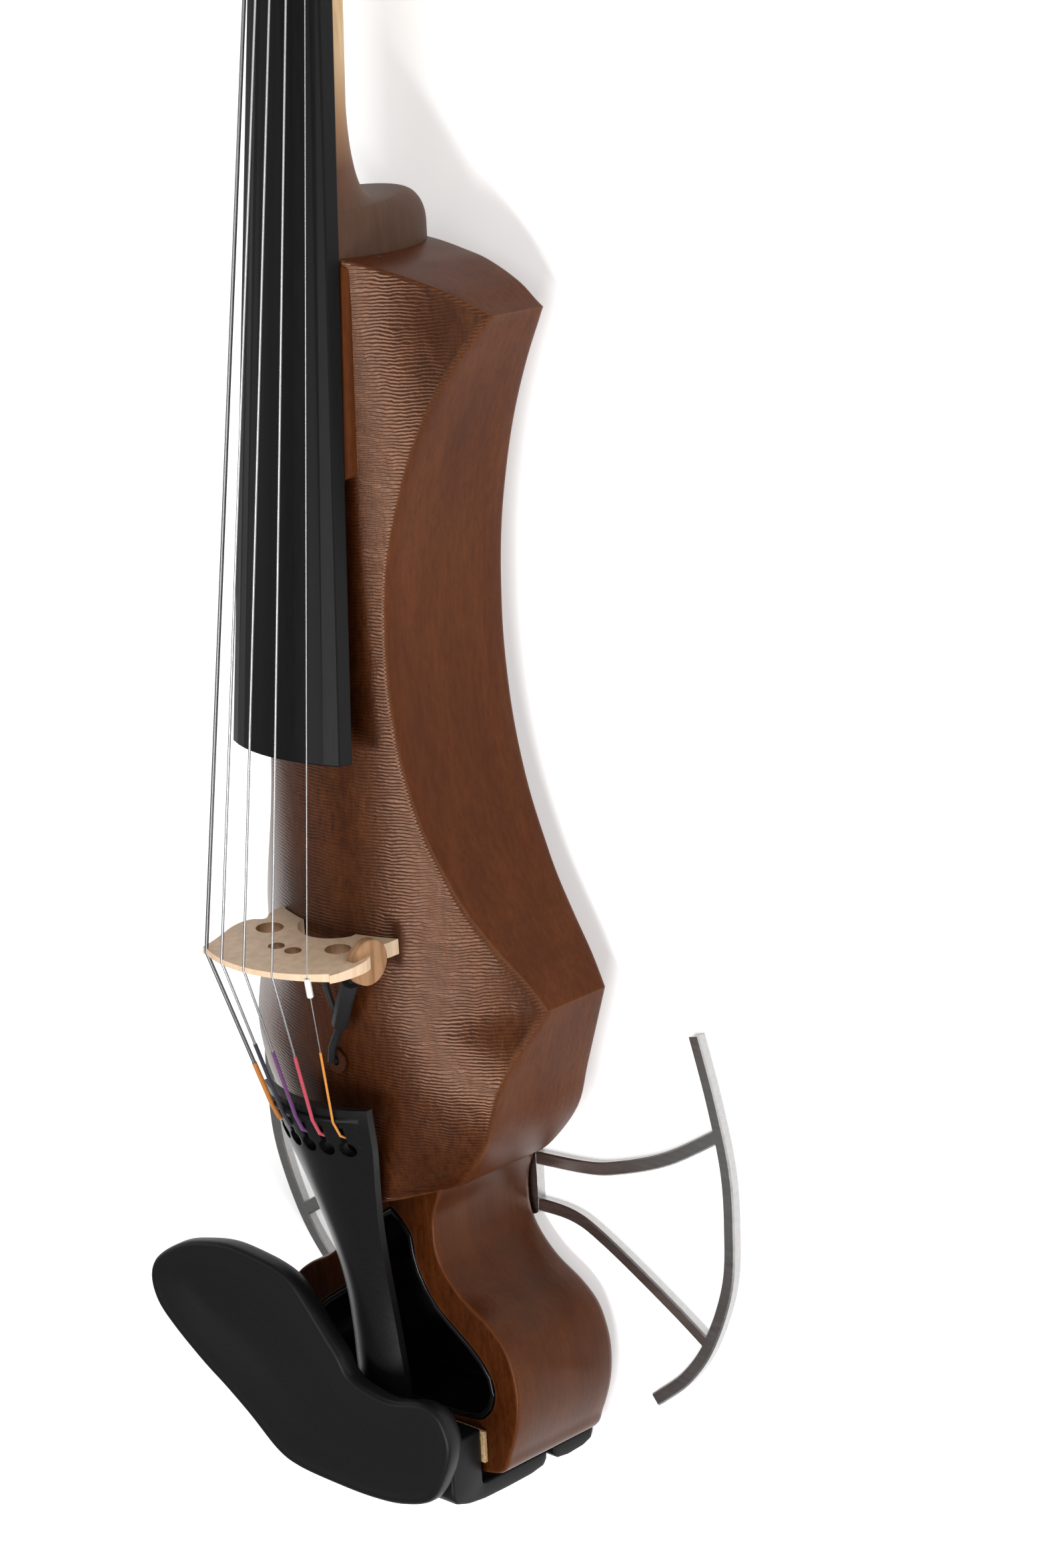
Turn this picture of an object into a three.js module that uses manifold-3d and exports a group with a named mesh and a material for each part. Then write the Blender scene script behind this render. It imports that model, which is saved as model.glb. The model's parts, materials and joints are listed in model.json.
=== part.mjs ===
// Five-string electric violin lying on its back, in millimetres.
// X runs toward the treble side, Y toward the scroll and Z out of the front.
// The origin is the middle of the back face of the shoulder bracket.
// Inside the violin group the bridge stands at Y = 0 and its feet at Z = 0.

import * as THREE from 'three';
import { mergeVertices } from 'three/addons/utils/BufferGeometryUtils.js';
import Module from 'manifold-3d';

const wasm = await Module();
wasm.setup();

// Shared sizes: fit is the gap between touching pieces, overrun is how far a cutting shape runs past a face

const stringLength = 325;
const bridgeToBracket = 90;
const fit = 0.3;
const overrun = 4;

// Main body

const bodyLength = 284;
const bodyTail = -83;
const cornerHalf = 57;
const bodyBack = 53;
const bellyCrown = 3;
const bellyEdgeDrop = 30.9;
const bellySteps = 12;
const platformHalf = 18.5;
const platformLength = 64;
const topSlope = 0.12;

// Side outlines: share of cornerHalf, share of bodyLength up from the tail end

const trebleShares = [
  [0.42, 0.012], [0.56, 0.031], [0.765, 0.081], [0.853, 0.133], [1, 0.222],
  [0.92, 0.256], [0.81, 0.294], [0.705, 0.333], [0.63, 0.369], [0.555, 0.41],
  [0.5, 0.451], [0.46, 0.493], [0.437, 0.534], [0.425, 0.577], [0.428, 0.619],
  [0.44, 0.661], [0.465, 0.703], [0.505, 0.745], [0.558, 0.789], [0.625, 0.831],
  [0.71, 0.874], [0.81, 0.917], [0.885, 0.955], [0.93, 1.068],
];
const bassShares = [
  [0.42, 0.012], [0.56, 0.031], [0.765, 0.081], [0.853, 0.133], [1, 0.222],
  [0.92, 0.256], [0.81, 0.294], [0.7, 0.333], [0.61, 0.369], [0.54, 0.41],
  [0.493, 0.458], [0.467, 0.509], [0.475, 0.56], [0.52, 0.611], [0.61, 0.659],
  [0.772, 0.714], [0.6, 0.755], [0.418, 0.791], [0.418, 1.068],
];
const topShares = [
  [1.2, 0.84], [0.96, 0.921], [0.865, 0.94], [0.775, 0.953], [0.672, 0.968], [0.505, 0.983],
  [0.35, 0.991], [0, 1], [-0.7, 1],
];

// Belly arch: share of bodyLength, share of bellyCrown, share of bellyEdgeDrop

const archShares = [
  [-0.02, 0.35, 4.3], [0.01, 0.4, 4.1], [0.018, 0.45, 2.7], [0.036, 0.5, 1.63], [0.062, 0.58, 1.04],
  [0.09, 0.66, 0.81], [0.12, 0.74, 0.72], [0.148, 0.82, 0.71], [0.185, 0.9, 0.82], [0.222, 1, 1],
  [0.275, 0.72, 1], [0.328, 0.5, 1], [0.416, 0.33, 1], [0.504, 0.2, 1], [0.592, 0.15, 1], [0.68, 0.1, 1],
  [0.75, -0.12, 1.05], [0.82, -0.33, 1.1], [0.891, -0.44, 1.22], [0.962, -0.53, 1.37], [1.04, -0.53, 1.37],
];

// Tail part with the pear-shaped pocket: shares of tailHalf, shares of tailLength up from the end

const tailEnd = -169;
const tailLength = 109;
const tailHalf = 48;
const tailFront = 15.5;
const tailBack = 58;
const tailRamp = 12;
const tailRound = 3;
const tailSteps = 32;
const pocketSteps = 20;
const tailShares = [
  [0.625, 0.99], [0.5, 0.89], [0.435, 0.807], [0.378, 0.743], [0.365, 0.688],
  [0.381, 0.627], [0.452, 0.572], [0.583, 0.518], [0.771, 0.47], [0.904, 0.418],
  [0.975, 0.349], [1, 0.275], [0.979, 0.188], [0.906, 0.096], [0.808, 0.032], [0.417, 0.009], [0, 0],
];
const pocketShares = [
  [0, 0.722], [0.07, 0.703], [0.165, 0.654], [0.19, 0.584], [0.26, 0.522], [0.352, 0.47], [0.485, 0.427],
  [0.64, 0.378], [0.752, 0.329], [0.802, 0.28], [0.783, 0.2275], [0.706, 0.186], [0.623, 0.17],
  [0.396, 0.162], [0, 0.16],
];
const linerWall = 1.4;
const linerFloor = 38;

// Rear cover, electronics and sockets

const coverRim = 4.5;
const coverRecess = 4;
const coverThickness = 2.6;
const coverScrewShares = [0.125, 0.375, 0.625, 0.875];
const coverScrewRadius = 1.1;
const coverHeadRadius = 1.9;
const coverHeadHeight = 1;
const coverScrewLength = 8;
const boardThickness = 1.6;
const boardWidth = 50;
const boardLength = 17;
const boardLine = -138;
const potRadius = 8;
const potHeight = 6.8;
const potSpread = 19;
const potLine = -135;
const potShaftRadius = 3;
const knobRadius = 7;
const knobHeight = 6;
const knobCap = 1.2;
const socketLevel = 45.5;
const jackRadius = 5.6;
const jackBore = 3.3;
const jackLength = 18;
const jackLine = -142;
const phonesRadius = 3.9;
const phonesBore = 1.85;
const phonesLength = 13;
const phonesLine = -128;
const flangeThickness = 1.2;
const flangeRim = 1.8;
const channelHalf = 4;
const channelBottom = 50;
const channelHeight = 8;

// Battery bay in the back

const batteryHalf = 13.25;
const batteryLength = 48.5;
const batteryDepth = 17.5;
const bayPlay = 1.6;
const bayTail = 6;
const snapLength = 3;
const doorThickness = 2.1;
const doorLap = 2.2;
const hingeRadius = 2;
const hingePinRadius = 0.9;
const fingerNotch = 5;

// Neck, fingerboard and nut: the neck line starts at the nut, neckDrop below the bridge feet

const neckDrop = 16;
const neckSlope = 0.0902;
const boardReach = 268.5;
const boardEndHalf = 21.57;
const boardNutHalf = 12.2;
const boardSide = 5.2;
const boardRadius = 42;
const arcSteps = 10;
const neckDepth = 10.3;
const neckDepthGain = 1.5;
const neckInset = 0.6;
const neckShaft = 116;
const heelReach = 10;
const heelKnee = 11;
const heelRun = 28;
const heelBack = 52.5;
const heelHalf = 16;
const heelSteps = 5;
const tenonHalf = 12;
const tenonLength = 42;
const tenonDepth = 30;
const nutLength = 5.5;
const stringAction = 0.7;

// Pegbox and scroll

const pegboxLength = 76;
const pegboxHalf = 13.4;
const pegboxThroatHalf = 9.6;
const pegboxDepth = 22;
const throatDepth = 17;
const pegboxWall = 5;
const throatWall = 3.5;
const scrollRadius = 15;
const scrollHalf = 19;
const scrollDrums = [1, 0.74, 0.5, 0.28];

// Pegs

const pegRadius = 3.9;
const pegTipRadius = 3.2;
const pegSpacing = 12;
const firstPeg = 18;
const pegHeight = 7.5;
const pegTip = 2.5;
const pegCollarRadius = 5.4;
const pegCollar = 3;
const pegNeck = 5;
const pegHeadLength = 21;
const pegHeadHalf = 11;
const pegHeadThickness = 7;
const pegSides = 10;
const pegOrder = ['c', 'e', 'g', 'a', 'd'];
const treblePegs = ['a', 'e'];

// Strings and bridge

const stringNames = ['c', 'g', 'd', 'a', 'e'];
const stringRadii = { c: 0.58, g: 0.42, d: 0.39, a: 0.34, e: 0.16 };
const bridgeSpacing = 9.87;
const nutSpacing = 4.99;
const ridgeSpacing = 6.3;
const bridgeHeight = 35.4;
const bridgeRadius = 42;
const bridgeTilt = 0.04;
const bridgeBase = 4.6;
const bridgeTop = 1.7;
const protectorRadius = 0.95;
const protectorLength = 6.5;

// Bridge outline: shares of bridgeHeight, treble side up from the foot, then bass side down to the foot

const bridgeTrebleShares = [
  [0.3, -0.2], [0.664, -0.2], [0.664, 0.02], [0.645, 0.1], [0.6, 0.16], [0.61, 0.21], [0.67, 0.245], [0.74, 0.31],
  [0.775, 0.4], [0.785, 0.5], [0.78, 0.6], [0.765, 0.69], [0.74, 0.765],
];
const bridgeBassShares = [
  [-0.6, 0.885], [-0.615, 0.8], [-0.64, 0.69], [-0.675, 0.57], [-0.71, 0.45], [-0.715, 0.34], [-0.68, 0.25],
  [-0.615, 0.205], [-0.6, 0.16], [-0.64, 0.1], [-0.664, 0.02], [-0.664, -0.2], [-0.3, -0.2],
];
const legArchShares = [[-0.3, 0.08], [-0.25, 0.15], [-0.14, 0.23], [0, 0.26], [0.14, 0.23], [0.25, 0.15], [0.3, 0.08]];
const bridgeHoleShares = [[-0.42, 0.29, 0.105], [0.4, 0.32, 0.1], [-0.09, 0.545, 0.066], [0.1, 0.545, 0.068]];

// Pickup and its leads: lead points are shares of discX, of grommetLine and of discLevel

const discRadius = 6.8;
const discThickness = 3.2;
const discX = 24.1;
const discLevel = 10.3;
const leadRadius = 0.9;
const sleeveRadius = 2.6;
const stemRadius = 1.15;
const grommetRadius = 3;
const grommetFlange = 3.9;
const grommetDepth = 5;
const grommetRise = 1.2;
const grommetX = 1.4;
const grommetLine = -37.5;
const sleeveShares = [[0.705, 0.2, 1.02], [0.498, 0.4, 0.825], [0.29, 0.64, 0.6]];
const tipShares = [[0.905, 0.123, 0.96], [0.705, 0.2, 1.02]];
const stemShares = [[0.29, 0.64, 0.6], [0.133, 0.853, 0.62], [0.066, 0.976, 0.54]];
const leadShares = [[0.2, 0.085, 0.93], [0.15, 0.2, 0.82], [0.15, 0.4, 0.66], [0.25, 0.6, 0.6]];

// Tailpiece: shares along it of tailpieceHalf, then of tailpieceHeight

const tailpieceTop = -46;
const tailpieceEnd = -156;
const tailpieceHalf = 21;
const tailpieceHeight = 11.5;
const tailpieceArch = 7.4;
const tailpieceThickness = 4.2;
const tailpieceEdge = 2.3;
const tailpieceShares = [
  [1, 1], [0.905, 0.722], [0.733, 0.417], [0.586, 0.13], [0.486, -0.157],
  [0.445, -0.391], [0.455, -0.539], [0.471, -0.643], [0.405, -0.73],
];
const ridgeLine = -49.6;
const ridgeHalf = 17;
const ridgeWidth = 2.6;
const ridgeRise = 1.5;
const keyholeLine = -59.8;
const keyholeRadius = 2.5;
const keySlotHalf = 0.9;
const ballRadius = 1.9;

// Tailgut, saddle and end button

const gutRadius = 1.1;
const gutSpread = 4;
const gutGrip = 6;
const saddleHalf = 13;
const saddleLength = 5;
const saddleLip = 0.8;
const saddleRise = 2;
const buttonRadius = 7;
const buttonNeck = 3.6;
const buttonHead = 6;
const buttonShaft = 13;
const buttonLevel = 30;

// Chinrest: outline shares of chinLength from the left and of chinWidth from the tail

const chinLength = 126;
const chinWidth = 68;
const chinLeft = -83.5;
const chinTail = -174;
const chinTop = 8;
const chinThickness = 8.5;
const chinRound = 2;
const chinSteps = 40;
const chinDish = 4.5;
const chinDishHalf = 36;
const chinDishWidth = 22;
const chinDishX = -43;
const chinDishLine = -131;
const chinShares = [
  [0.004, 0.713], [0.032, 0.816], [0.117, 0.919], [0.198, 0.969], [0.288, 0.996], [0.386, 0.985],
  [0.455, 0.963], [0.505, 0.919], [0.553, 0.831], [0.602, 0.728], [0.645, 0.64], [0.675, 0.559],
  [0.735, 0.522], [0.81, 0.512], [0.907, 0.551], [0.962, 0.528], [0.99, 0.454], [0.996, 0.36],
  [0.972, 0.232], [0.923, 0.0985], [0.829, 0.031], [0.725, 0.007], [0.603, 0.007], [0.481, 0.022],
  [0.41, 0.066], [0.325, 0.184], [0.246, 0.282], [0.168, 0.369], [0.073, 0.496], [0.02, 0.596],
];

// Chinrest clamps

const clampX = { treble: 28, bass: -24 };
const clampHalf = 7;
const clampLine = -172;
const clampPlate = 5.4;
const jawReach = 17;
const jawEnd = 41;
const clampGap = 3;
const frontCork = 1.4;
const backCork = 0.8;
const corkReach = 10;
const hookThickness = 1.9;
const hookReach = 15;
const clampScrewRadius = 1.3;
const clampCollarRadius = 2.2;
const clampThread = 9;

// Shoulder bracket: shares of wingHalf and of wingLength up from the tail end

const barWidth = 4.2;
const barThickness = 3.3;
const wingHalf = 94.8;
const wingLength = 120;
const wingTail = -151;
const rootHalf = 19;
const rootTop = -77;
const rootLength = 26;
const bracketScrewX = 12.8;
const bracketScrewLines = [-80, -88];
const bracketScrewRadius = 1.5;
const bracketScrewLength = 12;
const bracketHeadRadius = 2.9;
const bracketHeadHeight = 1.5;
const wingShares = [
  [0.891, 1], [0.949, 0.842], [0.994, 0.675], [1, 0.525], [0.981, 0.367], [0.897, 0.2], [0.791, 0.086], [0.66, 0],
];
const upperArmShares = [[0.16, 0.552], [0.4, 0.567], [0.538, 0.591], [0.749, 0.655], [0.962, 0.755]];
const lowerArmShares = [[0.12, 0.425], [0.33, 0.428], [0.475, 0.388], [0.738, 0.271], [0.9, 0.19]];
const wingSteps = 16;
const armSteps = 7;

// Materials

function paint(colour, roughness, metalness = 0) {
  return new THREE.MeshStandardMaterial({ color: colour, roughness, metalness });
}
const stainedWood = () => paint(0x6e3b22, 0.35);
const paleMaple = () => paint(0xdcc39c, 0.55);
const ebony = () => paint(0x17171a, 0.42);
const blackPlastic = () => paint(0x1a1a1c, 0.5);
const steel = () => paint(0xc4c6c8, 0.3, 1);
const aluminium = () => paint(0xbfc1c2, 0.32, 1);
const corkSheet = () => paint(0xc9a26b, 0.9);

// Geometry helpers

function vec2(x, y) {
  return new THREE.Vector2(x, y);
}

function vec3(x, y, z) {
  return new THREE.Vector3(x, y, z);
}

function signedVolume(positions, triangles) {
  const corner = (i) => vec3().fromArray(positions, 3 * triangles[i]);
  let volume = 0;
  for (let i = 0; i < triangles.length; i += 3) {
    volume += corner(i).dot(corner(i + 1).cross(corner(i + 2)));
  }
  return volume;
}

function solid(geometry) {
  const bare = geometry.clone();
  bare.deleteAttribute('normal');
  bare.deleteAttribute('uv');
  const merged = mergeVertices(bare);
  const positions = new Float32Array(merged.attributes.position.array);
  const triangles = new Uint32Array(merged.index.array);
  if (signedVolume(positions, triangles) < 0) {
    triangles.reverse();
  }
  return new wasm.Manifold(new wasm.Mesh({ numProp: 3, vertProperties: positions, triVerts: triangles }));
}

function geometryOf(manifold) {
  const mesh = manifold.getMesh();
  const geometry = new THREE.BufferGeometry();
  geometry.setAttribute('position', new THREE.BufferAttribute(new Float32Array(mesh.vertProperties), 3));
  geometry.setIndex(new THREE.BufferAttribute(new Uint32Array(mesh.triVerts), 1));
  const faceted = geometry.toNonIndexed();
  faceted.computeVertexNormals();
  return faceted;
}

function united(solids) {
  return solids.reduce((whole, piece) => whole.add(piece));
}

function prismZ(points, low, high) {
  const geometry = new THREE.ExtrudeGeometry(new THREE.Shape(points), { depth: high - low, bevelEnabled: false });
  return geometry.translate(0, 0, low);
}

// Points are (y, z) pairs carried along X.

function prismX(points, low, high) {
  const turn = new THREE.Matrix4().makeBasis(vec3(0, 1, 0), vec3(0, 0, 1), vec3(1, 0, 0));
  return prismZ(points, low, high).applyMatrix4(turn);
}

// Points are (x, z) pairs carried along Y.

function prismY(points, low, high) {
  const turn = new THREE.Matrix4().makeBasis(vec3(1, 0, 0), vec3(0, 0, 1), vec3(0, -1, 0));
  return prismZ(points, -high, -low).applyMatrix4(turn);
}

function boxBetween(x0, x1, y0, y1, z0, z1) {
  const geometry = new THREE.BoxGeometry(x1 - x0, y1 - y0, z1 - z0);
  return geometry.translate((x0 + x1) / 2, (y0 + y1) / 2, (z0 + z1) / 2);
}

// A turned shape about Z: the profile's pairs are radius and distance along Z.

function turned(profile, sides = 12) {
  const geometry = new THREE.LatheGeometry(profile.map(([radius, along]) => vec2(radius, along)), sides);
  return geometry.rotateX(Math.PI / 2);
}

function rod(radius, low, high, sides = 12) {
  return turned([[0, low], [radius, low], [radius, high], [0, high]], sides);
}

// Turns a shape along Z so that it points along X.

function alongX(geometry) {
  return geometry.rotateY(Math.PI / 2);
}

// Triangles of a flat ring, turned to agree with the ring's own direction.

function capTriangles(ring) {
  const middle = ring.reduce((sum, point) => sum.add(point), vec3(0, 0, 0)).divideScalar(ring.length);
  const normal = vec3(0, 0, 0);
  ring.forEach((point, i) => {
    const next = ring[(i + 1) % ring.length];
    normal.add(point.clone().sub(middle).cross(next.clone().sub(middle)));
  });
  normal.normalize();
  const across = ring[0].clone().sub(middle);
  across.addScaledVector(normal, -across.dot(normal)).normalize();
  const upward = normal.clone().cross(across);
  const flat = ring.map((point) => point.clone().sub(middle)).map((arm) => vec2(arm.dot(across), arm.dot(upward)));
  return THREE.ShapeUtils.triangulateShape(flat, []);
}

// A closed skin over rings of equal point counts, capped at both ends.

function loft(rings) {
  const count = rings[0].length;
  const positions = rings.flatMap((ring) => ring.flatMap((point) => point.toArray()));
  const index = [];
  for (let row = 0; row + 1 < rings.length; row += 1) {
    for (let i = 0; i < count; i += 1) {
      const a = row * count + i;
      const b = row * count + ((i + 1) % count);
      index.push(a, b, a + count, b, b + count, a + count);
    }
  }
  const lastRow = (rings.length - 1) * count;
  capTriangles(rings[0]).forEach(([a, b, c]) => index.push(a, c, b));
  capTriangles(rings[rings.length - 1]).forEach(([a, b, c]) => index.push(lastRow + a, lastRow + b, lastRow + c));
  const geometry = new THREE.BufferGeometry();
  geometry.setAttribute('position', new THREE.Float32BufferAttribute(positions, 3));
  geometry.setIndex(index);
  return geometry;
}

// A tube along straight runs, mitred at each bend.

function wire(points, radius, sides = 8) {
  let side = vec3(1, 0, 0);
  const rings = points.map((point, i) => {
    const before = points[Math.max(i - 1, 0)];
    const after = points[Math.min(i + 1, points.length - 1)];
    const along = point.clone().sub(before).normalize().add(after.clone().sub(point).normalize()).normalize();
    side = side.clone().addScaledVector(along, -side.dot(along)).normalize();
    const other = along.clone().cross(side);
    const ring = [];
    for (let k = 0; k < sides; k += 1) {
      const angle = (2 * Math.PI * k) / sides;
      const arm = side.clone().multiplyScalar(Math.cos(angle)).addScaledVector(other, Math.sin(angle));
      ring.push(point.clone().addScaledVector(arm, radius));
    }
    return ring;
  });
  return loft(rings);
}

function smoothPath(points, steps) {
  return new THREE.CatmullRomCurve3(points, false, 'centripetal').getSpacedPoints(steps);
}

// A symmetrical outline from one side's (x, y) points, first and last on the middle line.

function mirroredOutline(points, steps) {
  const side = new THREE.SplineCurve(points).getSpacedPoints(steps);
  const other = side.slice(1, -1).map((point) => vec2(-point.x, point.y)).reverse();
  return [...side, ...other];
}

// Moves each corner of a closed outline outward by a distance.

function offsetOutline(points, distance) {
  const sign = THREE.ShapeUtils.area(points) > 0 ? 1 : -1;
  return points.map((point, i) => {
    const before = points[(i + points.length - 1) % points.length];
    const after = points[(i + 1) % points.length];
    const first = point.clone().sub(before).normalize();
    const second = after.clone().sub(point).normalize();
    const outward = vec2(first.y + second.y, -first.x - second.x).normalize();
    const stretch = 1 / Math.max(outward.dot(vec2(second.y, -second.x)), Math.SQRT1_2);
    return point.clone().addScaledVector(outward, sign * distance * stretch);
  });
}

// A flat strip of even width along a curve through (x, y) points.

function strip(points, width, low, high, steps) {
  const curve = new THREE.SplineCurve(points);
  const left = [];
  const right = [];
  for (let i = 0; i <= steps; i += 1) {
    const at = curve.getPointAt(i / steps);
    const along = curve.getTangentAt(i / steps);
    const across = vec2(-along.y, along.x).multiplyScalar(width / 2);
    left.push(at.clone().add(across));
    right.push(at.clone().sub(across));
  }
  return prismZ([...left, ...right.reverse()], low, high);
}

// The assembly

const object = new THREE.Group();
const violin = new THREE.Group();
violin.position.set(0, bridgeToBracket, tailBack + fit + barThickness);
object.add(violin);

function part(name, shape, material) {
  const mesh = new THREE.Mesh(geometryOf(shape), material);
  mesh.name = name;
  violin.add(mesh);
}

// The neck line: shapes made along it are tilted into place by inNeck

const neckTurn = new THREE.Matrix4().makeRotationX(-Math.atan(neckSlope));
const fromNeck = new THREE.Matrix4().makeTranslation(0, stringLength, -neckDrop).multiply(neckTurn);

function inNeck(geometry) {
  return geometry.applyMatrix4(fromNeck);
}

function neckPoint(x, y, z) {
  return vec3(x, y, z).applyMatrix4(fromNeck);
}

function boardHalfAt(y) {
  return THREE.MathUtils.mapLinear(y, -boardReach, 0, boardEndHalf, boardNutHalf);
}

function boardCrownAt(y) {
  return boardSide + boardRadius - Math.sqrt(boardRadius ** 2 - boardHalfAt(y) ** 2);
}

// Belly arch, shared by the body, the bridge feet and the grommet

function archAt(y) {
  const share = (y - bodyTail) / bodyLength;
  let i = 0;
  while (i + 2 < archShares.length && share > archShares[i + 1][0]) {
    i += 1;
  }
  const [start, crownStart, dropStart] = archShares[i];
  const [end, crownEnd, dropEnd] = archShares[i + 1];
  const t = THREE.MathUtils.clamp((share - start) / (end - start), 0, 1);
  return {
    crown: bellyCrown * THREE.MathUtils.lerp(crownStart, crownEnd, t),
    drop: bellyEdgeDrop * THREE.MathUtils.lerp(dropStart, dropEnd, t),
  };
}

function bellyAt(x, y) {
  const arch = archAt(y);
  return Math.max(arch.crown - arch.drop * (x / cornerHalf) ** 2, overrun - bodyBack);
}

function bellySolid(raise) {
  const reach = cornerHalf + overrun;
  const floor = -bodyBack - overrun;
  const rings = archShares.map(([share]) => {
    const y = bodyTail + share * bodyLength;
    const ring = [];
    for (let i = 0; i <= bellySteps; i += 1) {
      const x = THREE.MathUtils.lerp(-reach, reach, i / bellySteps);
      ring.push(vec3(x, y, bellyAt(x, y) + raise));
    }
    return [...ring, vec3(reach, y, floor), vec3(-reach, y, floor)];
  });
  return solid(loft(rings));
}

// Outlines

const bodyEnd = bodyTail + bodyLength;
const bodyPoint = ([x, y]) => vec2(x * cornerHalf, bodyTail + y * bodyLength);
const trebleSide = trebleShares.map(bodyPoint);
const bassSide = bassShares.map(bodyPoint).map((point) => vec2(-point.x, point.y)).reverse();
const bodyOutline = [vec2(0, bodyTail), ...trebleSide, ...bassSide];
const tailPoint = ([x, y]) => vec2(x * tailHalf, tailEnd + y * tailLength);
const tailOutline = mirroredOutline(tailShares.map(tailPoint), tailSteps);
const pocketOutline = mirroredOutline(pocketShares.map(tailPoint), pocketSteps);
const coverOutline = offsetOutline(pocketOutline, coverRim);

// Strings: the points where each one bends

const nutCrown = boardCrownAt(0) + stringAction;

function bridgeTopAt(x) {
  return bridgeHeight - bridgeTilt * x - (bridgeRadius - Math.sqrt(bridgeRadius ** 2 - x ** 2));
}

function alongTailpiece(y, column) {
  const place = ((tailpieceTop - y) / (tailpieceTop - tailpieceEnd)) * (tailpieceShares.length - 1);
  const i = THREE.MathUtils.clamp(Math.floor(place), 0, tailpieceShares.length - 2);
  return THREE.MathUtils.lerp(tailpieceShares[i][column], tailpieceShares[i + 1][column], place - i);
}

function tailpieceTopAt(x, y) {
  const half = tailpieceHalf * alongTailpiece(y, 0);
  const hump = 1 - Math.min(Math.abs(x) / half, 1) ** 2;
  return tailpieceHeight * alongTailpiece(y, 1) + tailpieceArch * alongTailpiece(y, 0) * hump;
}

function tailpieceBottomAt(x, y) {
  const half = tailpieceHalf * alongTailpiece(y, 0);
  const hump = 1 - Math.min(Math.abs(x) / half, 1) ** 2;
  return tailpieceTopAt(x, y) - THREE.MathUtils.lerp(tailpieceEdge, tailpieceThickness, hump);
}

function pegLine(name) {
  return firstPeg + pegSpacing * pegOrder.indexOf(name);
}

function stringPoints(name) {
  const place = stringNames.indexOf(name) - (stringNames.length - 1) / 2;
  const radius = stringRadii[name];
  const nutX = place * nutSpacing;
  const bridgeX = place * bridgeSpacing;
  const ridgeX = place * ridgeSpacing;
  const nutZ = nutCrown - (boardRadius - Math.sqrt(boardRadius ** 2 - nutX ** 2));
  const keyZ = (tailpieceTopAt(ridgeX, keyholeLine) + tailpieceBottomAt(ridgeX, keyholeLine)) / 2;
  return {
    peg: neckPoint(nutX / 2, pegLine(name), pegRadius + fit + radius - pegHeight),
    nutBack: neckPoint(nutX, nutLength, nutZ),
    nut: neckPoint(nutX, 0, nutZ),
    bridge: vec3(bridgeX, 0, bridgeTopAt(bridgeX)),
    ridge: vec3(ridgeX, ridgeLine, tailpieceTopAt(ridgeX, ridgeLine) + ridgeRise),
    key: vec3(ridgeX, keyholeLine, keyZ),
  };
}

function stringWire(name, extra) {
  return solid(wire(Object.values(stringPoints(name)), stringRadii[name] + extra));
}

const stringGrooves = united(stringNames.map((name) => stringWire(name, fit)));

// Body

function endBlock(extra) {
  const corners = [[-1.2, 1], [-1.2, -0.1], [1.2, -0.1]];
  const block = prismZ([...topShares, ...corners].map(bodyPoint), -bodyBack - overrun, bodyBack);
  const slope = new THREE.Matrix4().makeShear(0, 0, 0, 0, 0, topSlope);
  return solid(block.applyMatrix4(slope).translate(0, extra, 0));
}

function makeShell() {
  const plan = solid(prismZ(bodyOutline, -bodyBack, bodyBack));
  const platform = boxBetween(-cornerHalf, platformHalf, bodyEnd - platformLength, bodyEnd + overrun, -neckDrop, neckDrop);
  const main = bellySolid(0).add(solid(platform)).intersect(plan).intersect(endBlock(0));
  const tailTop = tailEnd + tailLength;
  const ramp = prismX([
    vec2(tailTop + overrun, -tailBack - overrun),
    vec2(tailTop + overrun, -bodyBack),
    vec2(tailTop, -bodyBack),
    vec2(tailTop - tailRamp, -tailBack),
    vec2(tailTop - tailRamp, -tailBack - overrun),
  ], -tailHalf, tailHalf);
  const levels = [[-tailRound, -tailBack], [0, tailRound - tailBack], [0, -tailFront]];
  const rings = levels.map(([inset, level]) => (
    offsetOutline(tailOutline, inset).map((point) => vec3(point.x, point.y, level))
  ));
  return main.add(solid(loft(rings)).subtract(solid(ramp)));
}

function overBoardPlane(end) {
  const reach = boardReach + overrun;
  return solid(inNeck(boxBetween(-cornerHalf, cornerHalf, -reach, end, -fit, bodyBack)));
}

function tenon(clear) {
  const start = bodyEnd - tenonLength - clear;
  const half = tenonHalf + clear;
  return solid(boxBetween(-half, half, start, bodyEnd + heelReach / 2, -tenonDepth - clear, bellyCrown));
}

const coverBottom = coverRecess - tailBack;
const coverTop = coverBottom + coverThickness;
const bayHalf = batteryHalf + bayPlay;
const bayEnd = bayTail + batteryLength + snapLength + 2 * bayPlay;
const batteryBottom = doorThickness + fit - bodyBack;
const bayTop = batteryBottom + batteryDepth + bayPlay;
const doorHalf = bayHalf + doorLap;
const doorTail = bayTail - doorLap;
const hingeLine = bayEnd + fit + hingeRadius;
const hingeLevel = hingeRadius + fit - bodyBack;
const pinHalf = doorHalf + doorLap;
const channelTop = channelHeight - channelBottom;

function bayCuts() {
  const depth = -bodyBack - overrun;
  const half = doorHalf + fit;
  const sweep = hingeRadius + 2 * fit;
  return united([
    solid(boxBetween(-bayHalf, bayHalf, bayTail, bayEnd, depth, bayTop)),
    solid(boxBetween(-half, half, doorTail - fit, hingeLine, depth, batteryBottom)),
    solid(boxBetween(-half, half, hingeLine - sweep, hingeLine + sweep, depth, hingeLevel + sweep)),
    solid(boxBetween(-fingerNotch, fingerNotch, doorTail - fingerNotch, bayTail, depth, batteryBottom)),
    solid(alongX(rod(hingePinRadius + fit, -pinHalf - fit, pinHalf + fit)).translate(0, hingeLine, hingeLevel)),
  ]);
}

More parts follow.
